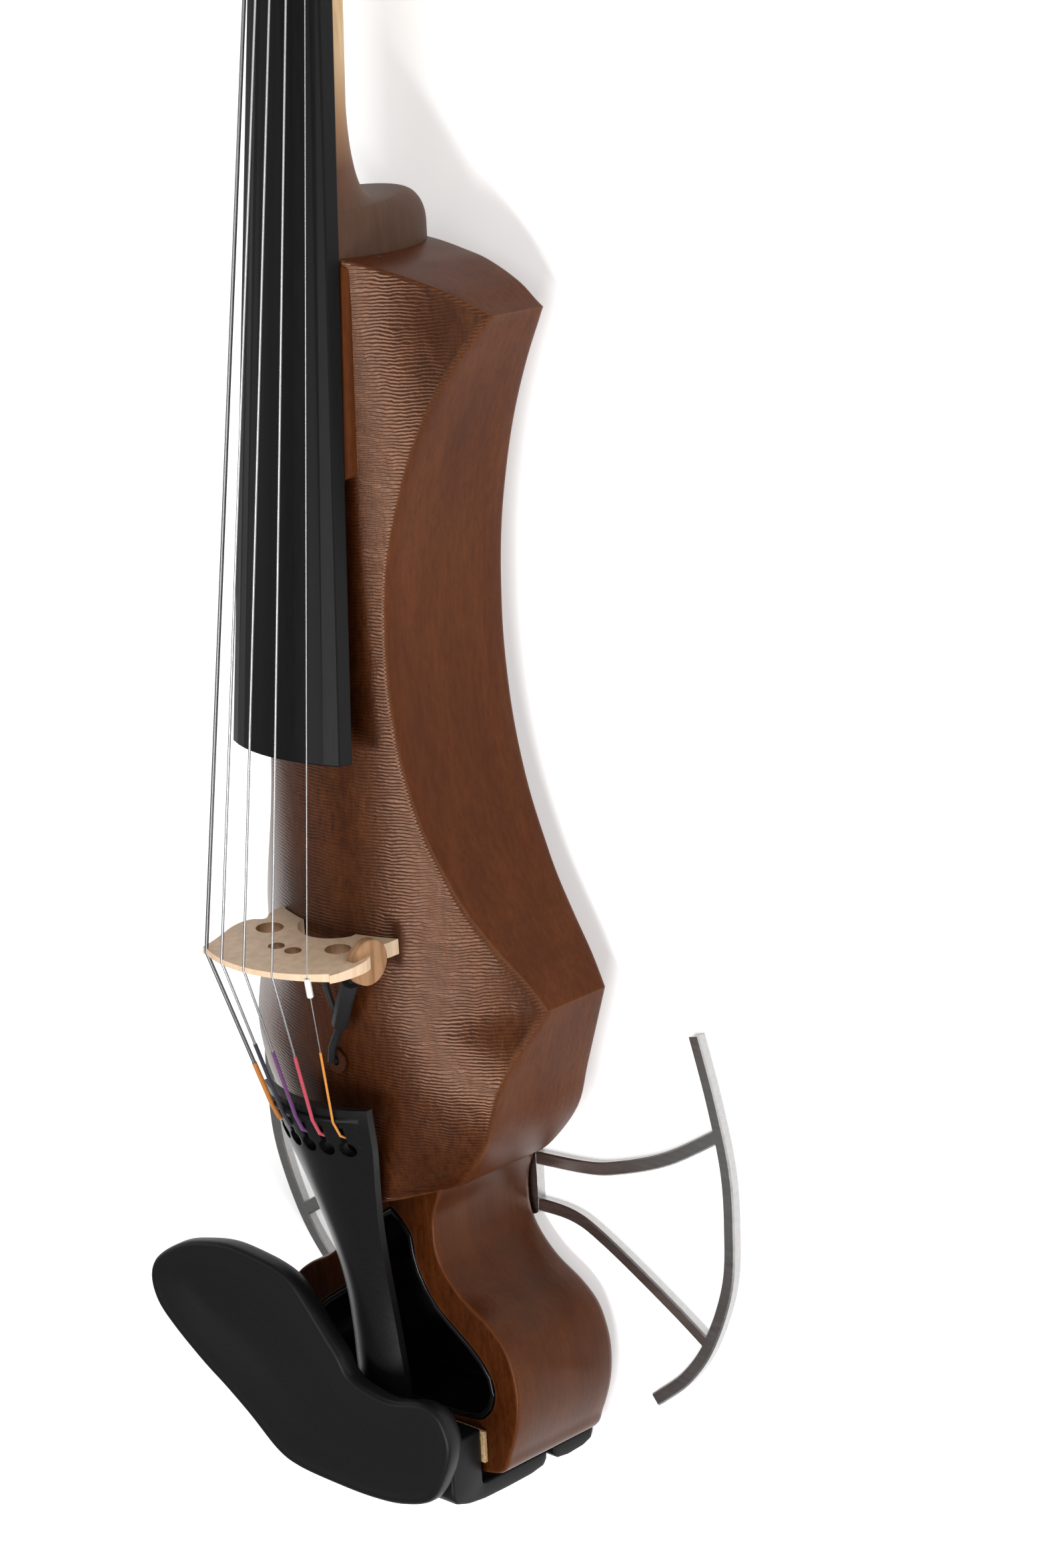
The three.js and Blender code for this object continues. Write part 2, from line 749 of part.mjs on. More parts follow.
function channelCuts() {
  const start = pocketOutline[0].y - overrun;
  return united([
    solid(boxBetween(-channelHalf, channelHalf, start, bayTail + bayPlay, -channelBottom, channelTop)),
    solid(rod(grommetRadius + fit, channelTop - fit, bellyCrown + overrun).translate(grommetX, grommetLine, 0)),
  ]);
}

// Sockets sit in the bass side wall of the tail, each flange in a flat seat.

function wallAt(line) {
  const nearest = tailOutline.reduce((best, point) => (
    Math.abs(point.y - line) < Math.abs(best.y - line) && point.x > 0 ? point : best
  ));
  return -Math.abs(nearest.x);
}

const sockets = {
  jack_socket: { radius: jackRadius, bore: jackBore, length: jackLength, line: jackLine, sink: flangeThickness },
  headphone_socket: {
    radius: phonesRadius, bore: phonesBore, length: phonesLength, line: phonesLine, sink: 2 * flangeThickness,
  },
};

function socketHole({ radius, length, line, sink }) {
  const seat = sink + flangeThickness + fit;
  const hole = turned([
    [0, -overrun], [radius + flangeRim + fit, -overrun], [radius + flangeRim + fit, seat],
    [radius + fit, seat], [radius + fit, length + overrun], [0, length + overrun],
  ]);
  return solid(alongX(hole).translate(wallAt(line), line, -socketLevel));
}

function makeSocket({ radius, bore, length, line, sink }) {
  const rim = radius + flangeRim;
  const shape = turned([
    [bore, 0], [rim, 0], [rim, flangeThickness], [radius, flangeThickness], [radius, length], [bore, length], [bore, 0],
  ]);
  return solid(alongX(shape).translate(wallAt(line) + sink, line, -socketLevel));
}

// Screws: each place gets a screw and a hole.

const bracketScrewPlaces = bracketScrewLines.flatMap((line) => [-1, 1].map((side) => vec2(side * bracketScrewX, line)));
const coverLedge = offsetOutline(pocketOutline, coverRim / 2);
const coverScrewPlaces = coverScrewShares.map((share) => coverLedge[Math.round(coverLedge.length * share)]);

function atPlaces(places, shape) {
  return united(places.map((place) => solid(shape().translate(place.x, place.y, 0))));
}

function buttonTurn(geometry) {
  return geometry.rotateX(Math.PI / 2).translate(0, tailEnd, -buttonLevel);
}

const saddleTop = saddleRise - tailFront;
const saddleBottom = -saddleRise - tailFront;

function saddleBlock(lip, clear) {
  const half = saddleHalf + clear;
  return solid(boxBetween(
    -half, half, tailEnd - lip, tailEnd + saddleLength + clear, saddleBottom - clear, saddleTop,
  ));
}

const shell = makeShell();
const bracketHoleTop = bracketScrewLength - tailBack;
const coverHoleTop = coverBottom + coverScrewLength + fit;
const bodyHoles = [
  solid(prismZ(pocketOutline, -tailBack - overrun, overrun)),
  solid(prismZ(coverOutline, -tailBack - overrun, coverTop + fit)),
  bayCuts(),
  channelCuts(),
  tenon(fit),
  overBoardPlane(pegboxLength),
  ...Object.values(sockets).map(socketHole),
  atPlaces(bracketScrewPlaces, () => rod(bracketScrewRadius + fit, -tailBack - overrun, bracketHoleTop)),
  atPlaces(coverScrewPlaces, () => rod(coverScrewRadius + fit, coverBottom, coverHoleTop, 10)),
  solid(buttonTurn(rod(buttonNeck + fit, -buttonShaft - fit, overrun))),
  saddleBlock(overrun, fit),
];
part('body', bodyHoles.reduce((whole, hole) => whole.subtract(hole), shell), stainedWood());

// Neck

function neckDepthAt(y) {
  return neckDepth - (neckDepthGain * y) / neckShaft;
}

function makeShaft() {
  const rows = [nutLength, 0, -neckShaft / 2, -neckShaft];
  return solid(inNeck(loft(rows.map((y) => {
    const ring = [];
    for (let i = 0; i <= arcSteps; i += 1) {
      const angle = (Math.PI * i) / arcSteps;
      const half = boardHalfAt(y) - neckInset;
      ring.push(vec3(half * Math.cos(angle), y, -neckDepthAt(y) * Math.sin(angle) ** 0.9));
    }
    return ring;
  }))));
}

// The heel is a row of U-shaped sections, from the neck's own section down to the full depth of the body.

function makeHeel() {
  const face = bodyEnd + heelReach;
  const plane = (y) => (stringLength - y) * neckSlope - neckDrop;
  const neckLevel = plane(face + heelRun) - neckDepthAt(face + heelRun - stringLength);
  const turn = (i) => (Math.PI / 2) * (i / heelSteps);
  const stations = [];
  for (let i = 0; i <= heelSteps; i += 1) {
    const y = face + heelRun * (1 - Math.sin(turn(i)));
    stations.push([y, neckLevel - heelKnee * (1 - Math.cos(turn(i)))]);
  }
  for (let i = 0; i <= heelSteps; i += 1) {
    const y = face - heelKnee * (1 - Math.cos(turn(i))) - fit;
    stations.push([y, -heelBack + heelKnee * (1 - Math.sin(turn(i)))]);
  }
  stations.push([bodyEnd - overrun, -heelBack]);
  const rings = stations.map(([y, depth]) => {
    const share = (neckLevel - depth) / (neckLevel + heelBack);
    const half = THREE.MathUtils.lerp(boardHalfAt(y - stringLength) - neckInset, heelHalf, share);
    const ring = [];
    for (let i = 0; i <= arcSteps; i += 1) {
      const angle = (Math.PI * i) / arcSteps;
      ring.push(vec3(half * Math.cos(angle), y, plane(y) + (depth - plane(y)) * Math.sin(angle) ** 0.9));
    }
    return ring;
  });
  return solid(loft(rings)).subtract(endBlock(fit));
}

function pegboxProfile(wall) {
  const start = wall > 0 ? nutLength + wall : nutLength / 2;
  const rise = wall > 0 ? overrun : 0;
  const end = pegboxLength - wall;
  return prismX([
    vec2(start, rise), vec2(end, rise), vec2(end, wall - throatDepth), vec2(pegboxLength * 0.7, wall - throatDepth),
    vec2(pegboxLength * 0.36, wall - pegboxDepth), vec2(pegboxLength * 0.16, wall - pegboxDepth),
    vec2(start, wall - neckDepth),
  ], -pegboxHalf, pegboxHalf);
}

function pegboxPlan(wall, endWall) {
  const corner = nutLength * 2;
  return prismZ([
    vec2(wall - boardNutHalf, 0), vec2(boardNutHalf - wall, 0), vec2(pegboxHalf - wall, corner),
    vec2(pegboxThroatHalf - endWall, pegboxLength), vec2(endWall - pegboxThroatHalf, pegboxLength),
    vec2(wall - pegboxHalf, corner),
  ], -pegboxDepth - overrun, overrun);
}

function makePegbox() {
  return solid(inNeck(pegboxProfile(0))).intersect(solid(inNeck(pegboxPlan(0, 0))));
}

function pegboxHollow() {
  return solid(inNeck(pegboxProfile(pegboxWall))).intersect(solid(inNeck(pegboxPlan(pegboxWall, throatWall))));
}

// The scroll is built of drums, each wider and smaller than the last and a quarter turn further round.

function makeScroll() {
  const middle = vec2(pegboxLength + scrollRadius * 0.7, -scrollRadius * 0.75);
  const drums = scrollDrums.map((share, i) => {
    const inset = ((scrollDrums[Math.max(i - 1, 0)] - share) * scrollRadius) / 2;
    const angle = (Math.PI / 2) * (1 - i);
    middle.add(vec2(Math.cos(angle), Math.sin(angle)).multiplyScalar(inset));
    const half = THREE.MathUtils.lerp(pegboxThroatHalf - fit, scrollHalf, i / (scrollDrums.length - 1));
    return solid(inNeck(alongX(rod(share * scrollRadius, -half, half, 16)).translate(0, middle.x, middle.y)));
  });
  return united(drums);
}

// Pegs pass through both pegbox walls, small end first.

function pegSide(name) {
  return treblePegs.includes(name) ? 1 : -1;
}

function placePeg(geometry, name) {
  return solid(inNeck(geometry.scale(pegSide(name), 1, 1).translate(0, pegLine(name), -pegHeight)));
}

function pegHole(name) {
  const reach = pegboxHalf + overrun;
  const hole = turned([[0, -reach], [pegTipRadius + fit, -reach], [pegRadius + fit, reach], [0, reach]], pegSides);
  return placePeg(alongX(hole), name);
}

function makePeg(name) {
  const tip = -pegboxHalf - pegTip;
  const collar = pegboxHalf + fit;
  const head = collar + pegCollar + pegNeck;
  const shaft = turned([
    [0, tip], [pegTipRadius, tip], [pegRadius, collar], [pegCollarRadius, collar], [pegCollarRadius, collar + pegCollar],
    [pegRadius, collar + pegCollar + fit], [pegTipRadius, head], [pegTipRadius, head + pegHeadLength / 2],
    [0, head + pegHeadLength / 2],
  ], pegSides);
  const oval = new THREE.EllipseCurve(head + pegHeadLength / 2, 0, pegHeadLength / 2, pegHeadHalf);
  const plate = prismZ(oval.getPoints(pegSides).slice(0, -1), -pegHeadThickness / 2, pegHeadThickness / 2);
  return placePeg(alongX(shaft), name).add(placePeg(plate, name));
}

const neckCuts = [overBoardPlane(nutLength + fit), pegboxHollow(), ...pegOrder.map(pegHole)];
const neckWhole = united([makeShaft(), makeHeel(), tenon(0), makePegbox(), makeScroll()]);
part('neck', neckCuts.reduce((whole, cut) => whole.subtract(cut), neckWhole), paleMaple());

// Fingerboard and nut

function boardRing(y, half, raise) {
  const ring = [vec3(-half, y, 0), vec3(half, y, 0)];
  for (let i = 0; i <= arcSteps; i += 1) {
    const x = THREE.MathUtils.lerp(half, -half, i / arcSteps);
    const fall = boardRadius - Math.sqrt(boardRadius ** 2 - x ** 2);
    ring.push(vec3(x, y, boardCrownAt(y) + raise - fall));
  }
  return ring;
}

part('fingerboard', solid(inNeck(loft([
  boardRing(-boardReach, boardEndHalf, 0),
  boardRing(0, boardNutHalf, 0),
]))), ebony());

const nutBlock = solid(inNeck(loft([fit, nutLength].map((y) => boardRing(y, boardNutHalf, stringAction)))));
part('nut', nutBlock.subtract(stringGrooves), ebony());

pegOrder.forEach((name) => part(`peg_${name}`, makePeg(name), ebony()));

// Strings with their ball ends in the tailpiece keyholes

stringNames.forEach((name) => {
  const { key } = stringPoints(name);
  const ball = new THREE.SphereGeometry(ballRadius, 8, 6).translate(key.x, key.y, key.z);
  part(`string_${name}`, stringWire(name, 0).add(solid(ball)), steel());
});

function protectorTube(extra) {
  const { bridge, ridge } = stringPoints('e');
  const end = ridge.clone().sub(bridge).setLength(protectorLength).add(bridge);
  return solid(wire([bridge, end], protectorRadius + extra));
}

part('string_protector', protectorTube(0).subtract(stringWire('e', fit)), paint(0xf2f2ee, 0.5));

// Bridge and pickup

function makeBridge() {
  const point = ([x, z]) => vec2(x * bridgeHeight, z * bridgeHeight);
  const treble = bridgeTrebleShares.map(point);
  const bass = bridgeBassShares.map(point);
  const start = treble[treble.length - 1].x;
  const end = bass[0].x;
  const crown = [];
  for (let i = 1; i < arcSteps; i += 1) {
    const x = THREE.MathUtils.lerp(start, end, i / arcSteps);
    crown.push(vec2(x, bridgeTopAt(x)));
  }
  const outline = [...treble, ...crown, ...bass, ...legArchShares.map(point)];
  const low = -bridgeHeight;
  const wedge = prismX([
    vec2(-bridgeBase * 0.42, low), vec2(bridgeBase * 0.58, low), vec2(bridgeBase * 0.58, 0),
    vec2(bridgeTop / 2, bridgeHeight), vec2(-bridgeTop / 2, bridgeHeight), vec2(-bridgeBase * 0.42, 0),
  ], -cornerHalf, cornerHalf);
  const holes = bridgeHoleShares.map(([x, z, radius]) => {
    const { x: middle, y: level } = point([x, z]);
    const hole = rod(radius * bridgeHeight, -bridgeBase, bridgeBase, 12).rotateX(Math.PI / 2);
    return solid(hole.translate(middle, 0, level));
  });
  const slot = boxBetween(
    discX - discThickness / 2 - fit, cornerHalf, -bridgeBase, bridgeBase,
    discLevel - discRadius - fit, discLevel + discRadius + fit,
  );
  return [bellySolid(fit), stringGrooves, protectorTube(fit), solid(slot), ...holes].reduce(
    (whole, cut) => whole.subtract(cut),
    solid(prismY(outline, -bridgeBase, bridgeBase)).intersect(solid(wedge)),
  );
}

part('bridge', makeBridge(), paleMaple());

const disc = alongX(rod(discRadius, -discThickness / 2, discThickness / 2, 24)).translate(discX, 0, discLevel);
part('pickup_disc', solid(disc), paleMaple());

const leadPoint = ([x, y, z]) => vec3(x * discX, y * grommetLine, z * discLevel);

function makeSleeve(extra) {
  const belly = bellyAt(grommetX, grommetLine);
  const stem = stemShares.map(leadPoint);
  stem.push(vec3(grommetX, grommetLine, belly), vec3(grommetX, grommetLine, belly - 2 * grommetDepth));
  return united([
    solid(wire(tipShares.map(leadPoint), leadRadius + extra)),
    solid(wire(sleeveShares.map(leadPoint), sleeveRadius + extra)),
    solid(wire(stem, stemRadius + extra)),
  ]);
}

part('pickup_sleeve', makeSleeve(0), blackPlastic());

const lead = solid(wire(smoothPath(leadShares.map(leadPoint), 8), leadRadius));
part('pickup_lead', lead.subtract(makeSleeve(fit)), blackPlastic());

const grommet = turned([
  [stemRadius + fit, -grommetDepth], [grommetRadius, -grommetDepth], [grommetRadius, fit], [grommetFlange, fit],
  [grommetFlange, grommetRise], [stemRadius + fit, grommetRise], [stemRadius + fit, -grommetDepth],
]).translate(grommetX, grommetLine, bellyAt(grommetX, grommetLine));
part('cable_grommet', solid(grommet).subtract(makeSleeve(fit)), blackPlastic());

// Tailpiece with its keyholes, and the ridge the strings cross

function makeTailpiece() {
  const rows = tailpieceShares.length - 1;
  const steps = 6;
  const rings = [];
  for (let row = 0; row <= rows; row += 1) {
    const y = THREE.MathUtils.lerp(tailpieceTop, tailpieceEnd, row / rows);
    const half = tailpieceHalf * alongTailpiece(y, 0);
    const top = [];
    const bottom = [];
    for (let i = 0; i <= steps; i += 1) {
      const x = THREE.MathUtils.lerp(-half, half, i / steps);
      top.push(vec3(x, y, tailpieceTopAt(x, y)));
      bottom.push(vec3(x, y, tailpieceBottomAt(x, y)));
    }
    rings.push([...top, ...bottom.reverse()]);
  }
  return loft(rings);
}

function keyhole(name) {
  const { key } = stringPoints(name);
  const slot = boxBetween(key.x - keySlotHalf, key.x + keySlotHalf, key.y, ridgeLine - ridgeWidth, -overrun, bridgeHeight);
  const round = rod(keyholeRadius, -overrun, bridgeHeight, 10).translate(key.x, key.y, 0);
  return solid(slot).add(solid(round));
}

const gutY = tailEnd - saddleLip - fit - gutRadius;

function gutWire(extra) {
  const inside = tailpieceEnd + gutGrip;
  const level = (y) => (tailpieceTopAt(gutSpread, y) + tailpieceBottomAt(gutSpread, y)) / 2;
  const loop = buttonNeck + fit + gutRadius;
  const side = [
    vec3(gutSpread, inside, level(inside)), vec3(gutSpread, tailpieceEnd, level(tailpieceEnd)),
    vec3(gutSpread, tailEnd + saddleLength, saddleTop + gutRadius / 2), vec3(gutSpread, tailEnd, saddleTop + fit),
    vec3(gutSpread, gutY, saddleBottom), vec3(loop, gutY, -buttonLevel + gutRadius),
    vec3(loop * 0.8, gutY, -buttonLevel - loop * 0.6), vec3(loop * 0.35, gutY, -buttonLevel - loop * 0.94),
  ];
  const back = side.map((point) => vec3(-point.x, point.y, point.z)).reverse();
  return solid(wire([...side, ...back], gutRadius + extra));
}

const tailpieceHoles = united(stringNames.map(keyhole)).add(gutWire(fit)).add(stringGrooves);
part('tailpiece', solid(makeTailpiece()).subtract(tailpieceHoles), ebony());

function makeRidge() {
  const steps = 6;
  const top = [];
  const bottom = [];
  for (let i = 0; i <= steps; i += 1) {
    const x = THREE.MathUtils.lerp(-ridgeHalf, ridgeHalf, i / steps);
    const level = tailpieceTopAt(x, ridgeLine);
    top.push(vec2(x, level + ridgeRise));
    bottom.push(vec2(x, level - ridgeRise));
  }
  const bar = solid(prismY([...bottom, ...top.reverse()], ridgeLine - ridgeWidth / 2, ridgeLine + ridgeWidth / 2));
  return bar.subtract(solid(makeTailpiece().translate(0, 0, fit))).subtract(stringGrooves);
}

part('tailpiece_fret', makeRidge(), ebony());
part('tailgut', gutWire(0), blackPlastic());
part('saddle', saddleBlock(saddleLip, 0).subtract(gutWire(fit)), ebony());

const buttonGroove = saddleLip + 2 * gutRadius + 2 * fit;
part('end_button', solid(buttonTurn(turned([
  [0, -buttonShaft], [buttonNeck, -buttonShaft], [buttonNeck, buttonGroove], [buttonRadius, buttonGroove],
  [buttonRadius, buttonGroove + buttonHead * 0.6], [buttonRadius * 0.7, buttonGroove + buttonHead],
  [0, buttonGroove + buttonHead],
]))), ebony());

// Chinrest plate and its two clamps

function makeChinPlate() {
  const corners = chinShares.map(([x, y]) => vec3(chinLeft + x * chinLength, chinTail + y * chinWidth, 0));
  const spaced = new THREE.CatmullRomCurve3(corners, true, 'centripetal').getSpacedPoints(chinSteps).slice(0, -1);
  const outline = spaced.map((point) => vec2(point.x, point.y));
  const bottom = chinTop - chinThickness;
  const rings = [
    [-2 * chinRound, bottom], [0, bottom + 2 * chinRound], [0, chinTop - chinRound / 2], [-chinRound / 2, chinTop],
  ].map(([inset, level]) => offsetOutline(outline, inset).map((point) => vec3(point.x, point.y, level)));
  const bowl = new THREE.SphereGeometry(1, 16, 10).scale(chinDishHalf, chinDishWidth, 2 * chinDish);
  return solid(loft(rings)).subtract(solid(bowl.translate(chinDishX, chinDishLine, chinTop + chinDish)));
}

part('chinrest_plate', makeChinPlate(), blackPlastic());

const clampBack = clampLine - clampPlate / 2;
const clampFront = clampLine + clampPlate / 2;
const jawBottom = frontCork + 2 * fit - tailFront;
const jawTop = chinTop - chinThickness - fit;
const hookTop = -jawEnd - clampGap;
const hookFoot = -tailBack - backCork - 2 * fit;

function clampHole(x) {
  const reach = clampThread + fit;
  return solid(rod(clampScrewRadius + fit, hookTop - reach, -jawEnd + reach).translate(x, clampLine, 0));
}

function makeJaw(x) {
  const shape = prismX([
    vec2(clampFront, -jawEnd), vec2(clampFront, jawBottom), vec2(clampBack + jawReach + clampPlate, jawBottom),
    vec2(clampBack + jawReach + clampPlate, jawTop), vec2(clampBack + overrun / 2, jawTop),
    vec2(clampBack, jawTop - overrun / 2), vec2(clampBack, -jawEnd),
  ], x - clampHalf, x + clampHalf);
  return solid(shape).subtract(clampHole(x));
}

function makeHook(x) {
  const shape = prismX([
    vec2(clampFront, hookTop), vec2(clampBack, hookTop), vec2(clampBack, hookFoot - hookThickness),
    vec2(clampFront + hookReach - overrun, hookFoot - hookThickness), vec2(clampFront + hookReach - overrun, hookFoot),
    vec2(clampFront, hookFoot),
  ], x - clampHalf, x + clampHalf);
  return solid(shape).subtract(clampHole(x));
}

function makeClampScrew(x) {
  const shape = turned([
    [0, hookTop - clampThread], [clampScrewRadius, hookTop - clampThread], [clampScrewRadius, hookTop + fit],
    [clampCollarRadius, hookTop + fit], [clampCollarRadius, -jawEnd - fit], [clampScrewRadius, -jawEnd - fit],
    [clampScrewRadius, -jawEnd + clampThread], [0, -jawEnd + clampThread],
  ], 12);
  return solid(shape.translate(x, clampLine, 0));
}

function corkPad(x, start, low, high) {
  return solid(boxBetween(x - clampHalf + fit, x + clampHalf - fit, start - corkReach, start, low, high));
}

Object.entries(clampX).forEach(([side, x]) => {
  const frontStart = clampBack + jawReach + clampPlate - fit;
  const backStart = clampFront + hookReach - overrun - fit;
  part(`clamp_jaw_${side}`, makeJaw(x), blackPlastic());
  part(`clamp_hook_${side}`, makeHook(x), blackPlastic());
  part(`clamp_screw_${side}`, makeClampScrew(x), steel());
  part(`front_cork_${side}`, corkPad(x, frontStart, fit - tailFront, fit + frontCork - tailFront), corkSheet());
  part(`back_cork_${side}`, corkPad(x, backStart, -fit - backCork - tailBack, -fit - tailBack), corkSheet());
});

// Shoulder bracket and its screws

const bracketTop = -tailBack - fit;
const bracketBottom = bracketTop - barThickness;
const bracketHeadTop = bracketBottom + fit / 2 + bracketHeadHeight;

function makeBracket() {
  const wingPoint = ([x, y]) => vec2(x * wingHalf, wingTail + y * wingLength);
  const strips = [[wingShares, wingSteps], [upperArmShares, armSteps], [lowerArmShares, armSteps]];
  const wing = strips.map(([shares, steps]) => (
    strip(shares.map(wingPoint), barWidth, bracketBottom, bracketTop, steps)
  ));
  const mirrored = wing.map((bar) => bar.clone().scale(-1, 1, 1));
  const root = boxBetween(-rootHalf, rootHalf, rootTop - rootLength, rootTop, bracketBottom, bracketTop);
  const holes = atPlaces(bracketScrewPlaces, () => turned([
    [0, bracketBottom - overrun], [bracketHeadRadius + fit, bracketBottom - overrun],
    [bracketHeadRadius + fit, bracketHeadTop + fit], [bracketScrewRadius + fit, bracketHeadTop + fit],
    [bracketScrewRadius + fit, bracketTop + overrun], [0, bracketTop + overrun],
  ]));
  return united([root, ...wing, ...mirrored].map(solid)).subtract(holes);
}

part('shoulder_bracket', makeBracket(), aluminium());

bracketScrewPlaces.forEach((place, i) => {
  const end = bracketHeadTop + bracketScrewLength - 2 * bracketHeadHeight;
  const screw = turned([
    [0, bracketHeadTop - bracketHeadHeight], [bracketHeadRadius, bracketHeadTop - bracketHeadHeight],
    [bracketHeadRadius, bracketHeadTop], [bracketScrewRadius, bracketHeadTop], [bracketScrewRadius, end], [0, end],
  ], 12);
  part(`bracket_screw_${i + 1}`, solid(screw.translate(place.x, place.y, 0)), steel());
});

// Pocket liner, rear cover and its screws

const linerOuter = offsetOutline(pocketOutline, -fit);
const linerInner = offsetOutline(pocketOutline, -fit - linerWall);
const linerBottom = -linerFloor - linerWall;
const liner = solid(prismZ(linerOuter, linerBottom, -tailFront))
  .subtract(solid(prismZ(linerInner, -linerFloor, overrun)));
part('pocket_liner', liner, blackPlastic());

const shaftHoles = united([-1, 1].map((side) => (
  solid(rod(potShaftRadius + fit, -tailBack - overrun, coverTop + overrun).translate(side * potSpread, potLine, 0))
)));
const coverPlate = solid(prismZ(offsetOutline(coverOutline, -fit), coverBottom, coverTop));
const coverHoles = atPlaces(coverScrewPlaces, () => rod(coverScrewRadius + fit, coverBottom - overrun, coverTop + overrun, 10));
part('rear_cover', coverPlate.subtract(shaftHoles).subtract(coverHoles), blackPlastic());

coverScrewPlaces.forEach((place, i) => {
  const head = coverBottom - fit;
  const end = coverBottom + coverScrewLength;
  const screw = turned([
    [0, head - coverHeadHeight], [coverHeadRadius, head - coverHeadHeight], [coverHeadRadius, head],
    [coverScrewRadius, head], [coverScrewRadius, end], [0, end],
  ], 10);
  part(`cover_screw_${i + 1}`, solid(screw.translate(place.x, place.y, 0)), steel());
});

// Preamp board, controls and sockets

const potBottom = coverTop + fit;
const boardBottom = potBottom + potHeight + fit;
part('preamp_board', solid(boxBetween(
  -boardWidth / 2, boardWidth / 2, boardLine - boardLength / 2, boardLine + boardLength / 2,
  boardBottom, boardBottom + boardThickness,
)), paint(0x1d5a38, 0.6));

Object.entries({ volume: -1, tone: 1 }).forEach(([name, side]) => {
  const knobTop = coverBottom - fit;
  const shaftEnd = knobTop - knobHeight + knobCap + fit;
  const pot = turned([
    [0, shaftEnd], [potShaftRadius, shaftEnd], [potShaftRadius, potBottom], [potRadius, potBottom],
    [potRadius, potBottom + potHeight], [0, potBottom + potHeight],
  ]);
  const knob = turned([
    [0, knobTop - knobHeight], [knobRadius, knobTop - knobHeight], [knobRadius, knobTop],
    [potShaftRadius + fit, knobTop], [potShaftRadius + fit, shaftEnd - fit], [0, shaftEnd - fit],
  ], 24);
  part(`${name}_pot`, solid(pot.translate(side * potSpread, potLine, 0)), steel());
  part(`${name}_knob`, solid(knob.translate(side * potSpread, potLine, 0)), blackPlastic());
});

Object.entries(sockets).forEach(([name, sizes]) => part(name, makeSocket(sizes), steel()));

// Battery, its snap and the hinged door

const batteryTail = bayTail + bayPlay;
const batteryEnd = batteryTail + batteryLength;
part('battery', solid(boxBetween(
  -batteryHalf, batteryHalf, batteryTail, batteryEnd, batteryBottom + fit, batteryBottom + batteryDepth,
)), paint(0x2b3038, 0.5));
part('battery_snap', solid(boxBetween(
  -batteryHalf, batteryHalf, batteryEnd + fit, batteryEnd + snapLength, batteryBottom + fit, batteryBottom + batteryDepth,
)), blackPlastic());

const doorPlate = solid(boxBetween(-doorHalf, doorHalf, doorTail, hingeLine, -bodyBack, doorThickness - bodyBack));
const barrel = solid(alongX(rod(hingeRadius, -doorHalf, doorHalf)).translate(0, hingeLine, hingeLevel));
const pinBore = solid(alongX(rod(hingePinRadius + fit, -pinHalf, pinHalf)).translate(0, hingeLine, hingeLevel));
part('battery_door', doorPlate.add(barrel).subtract(pinBore), blackPlastic());

const pin = alongX(rod(hingePinRadius, -pinHalf, pinHalf, 12)).translate(0, hingeLine, hingeLevel);
part('door_hinge_pin', solid(pin), steel());

export default object;
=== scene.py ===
# %% [markdown]
# A five-string electric violin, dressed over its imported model.
# Every size is in metres. The violin lies on its back: X runs to the treble side,
# Y runs to the scroll and Z points out of the front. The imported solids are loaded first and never
# moved. Some of them keep their shape and get a finish, others are replaced by finer pieces.

# %% The frame
import bisect
import json
import math

import bmesh
import bpy
from mathutils import Matrix, Vector

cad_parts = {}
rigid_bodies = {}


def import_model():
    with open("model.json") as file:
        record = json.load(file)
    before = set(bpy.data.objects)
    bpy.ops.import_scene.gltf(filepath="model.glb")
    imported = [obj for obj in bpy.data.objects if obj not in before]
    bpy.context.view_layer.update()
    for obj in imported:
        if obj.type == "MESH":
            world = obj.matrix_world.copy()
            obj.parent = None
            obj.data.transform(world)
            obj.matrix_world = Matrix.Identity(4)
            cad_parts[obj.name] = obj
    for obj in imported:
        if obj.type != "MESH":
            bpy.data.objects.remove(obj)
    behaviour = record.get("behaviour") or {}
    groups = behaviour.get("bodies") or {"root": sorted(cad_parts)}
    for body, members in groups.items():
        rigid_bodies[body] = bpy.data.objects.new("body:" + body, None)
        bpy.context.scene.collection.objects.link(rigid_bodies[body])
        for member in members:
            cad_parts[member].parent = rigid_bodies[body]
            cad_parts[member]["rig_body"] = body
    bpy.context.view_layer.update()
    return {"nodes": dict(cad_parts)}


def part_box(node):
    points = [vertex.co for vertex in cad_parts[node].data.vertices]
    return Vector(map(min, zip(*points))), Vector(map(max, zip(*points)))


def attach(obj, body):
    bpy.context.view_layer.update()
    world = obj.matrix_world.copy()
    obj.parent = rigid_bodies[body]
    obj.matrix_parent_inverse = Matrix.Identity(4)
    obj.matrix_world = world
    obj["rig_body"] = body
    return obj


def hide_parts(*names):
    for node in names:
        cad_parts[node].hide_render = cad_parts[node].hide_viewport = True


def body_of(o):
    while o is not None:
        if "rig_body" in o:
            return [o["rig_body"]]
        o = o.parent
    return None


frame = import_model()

# %% [markdown]
# The shapes were measured from the foot of the bridge, in millimetres, so one small function
# turns such a place into a point of the scene. Curves through a few measured points are made
# with the Catmull-Rom rule, which passes through every point and leaves no corner between them.

# %% Places and curves
MM = 0.001
BRIDGE_FOOT = Vector((0, 0.090, 0.0616))


def place(x, y, z):
    return BRIDGE_FOOT + Vector((x, y, z)) * MM


def mix(low, high, share):
    return low + (high - low) * share


def smooth_between(a, b, c, d, t):
    # the Catmull-Rom point between b and c
    square = (2 * a - 5 * b + 4 * c - d) * t ** 2
    cube = (3 * b - a - 3 * c + d) * t ** 3
    return 0.5 * (2 * b + (c - a) * t + square + cube)


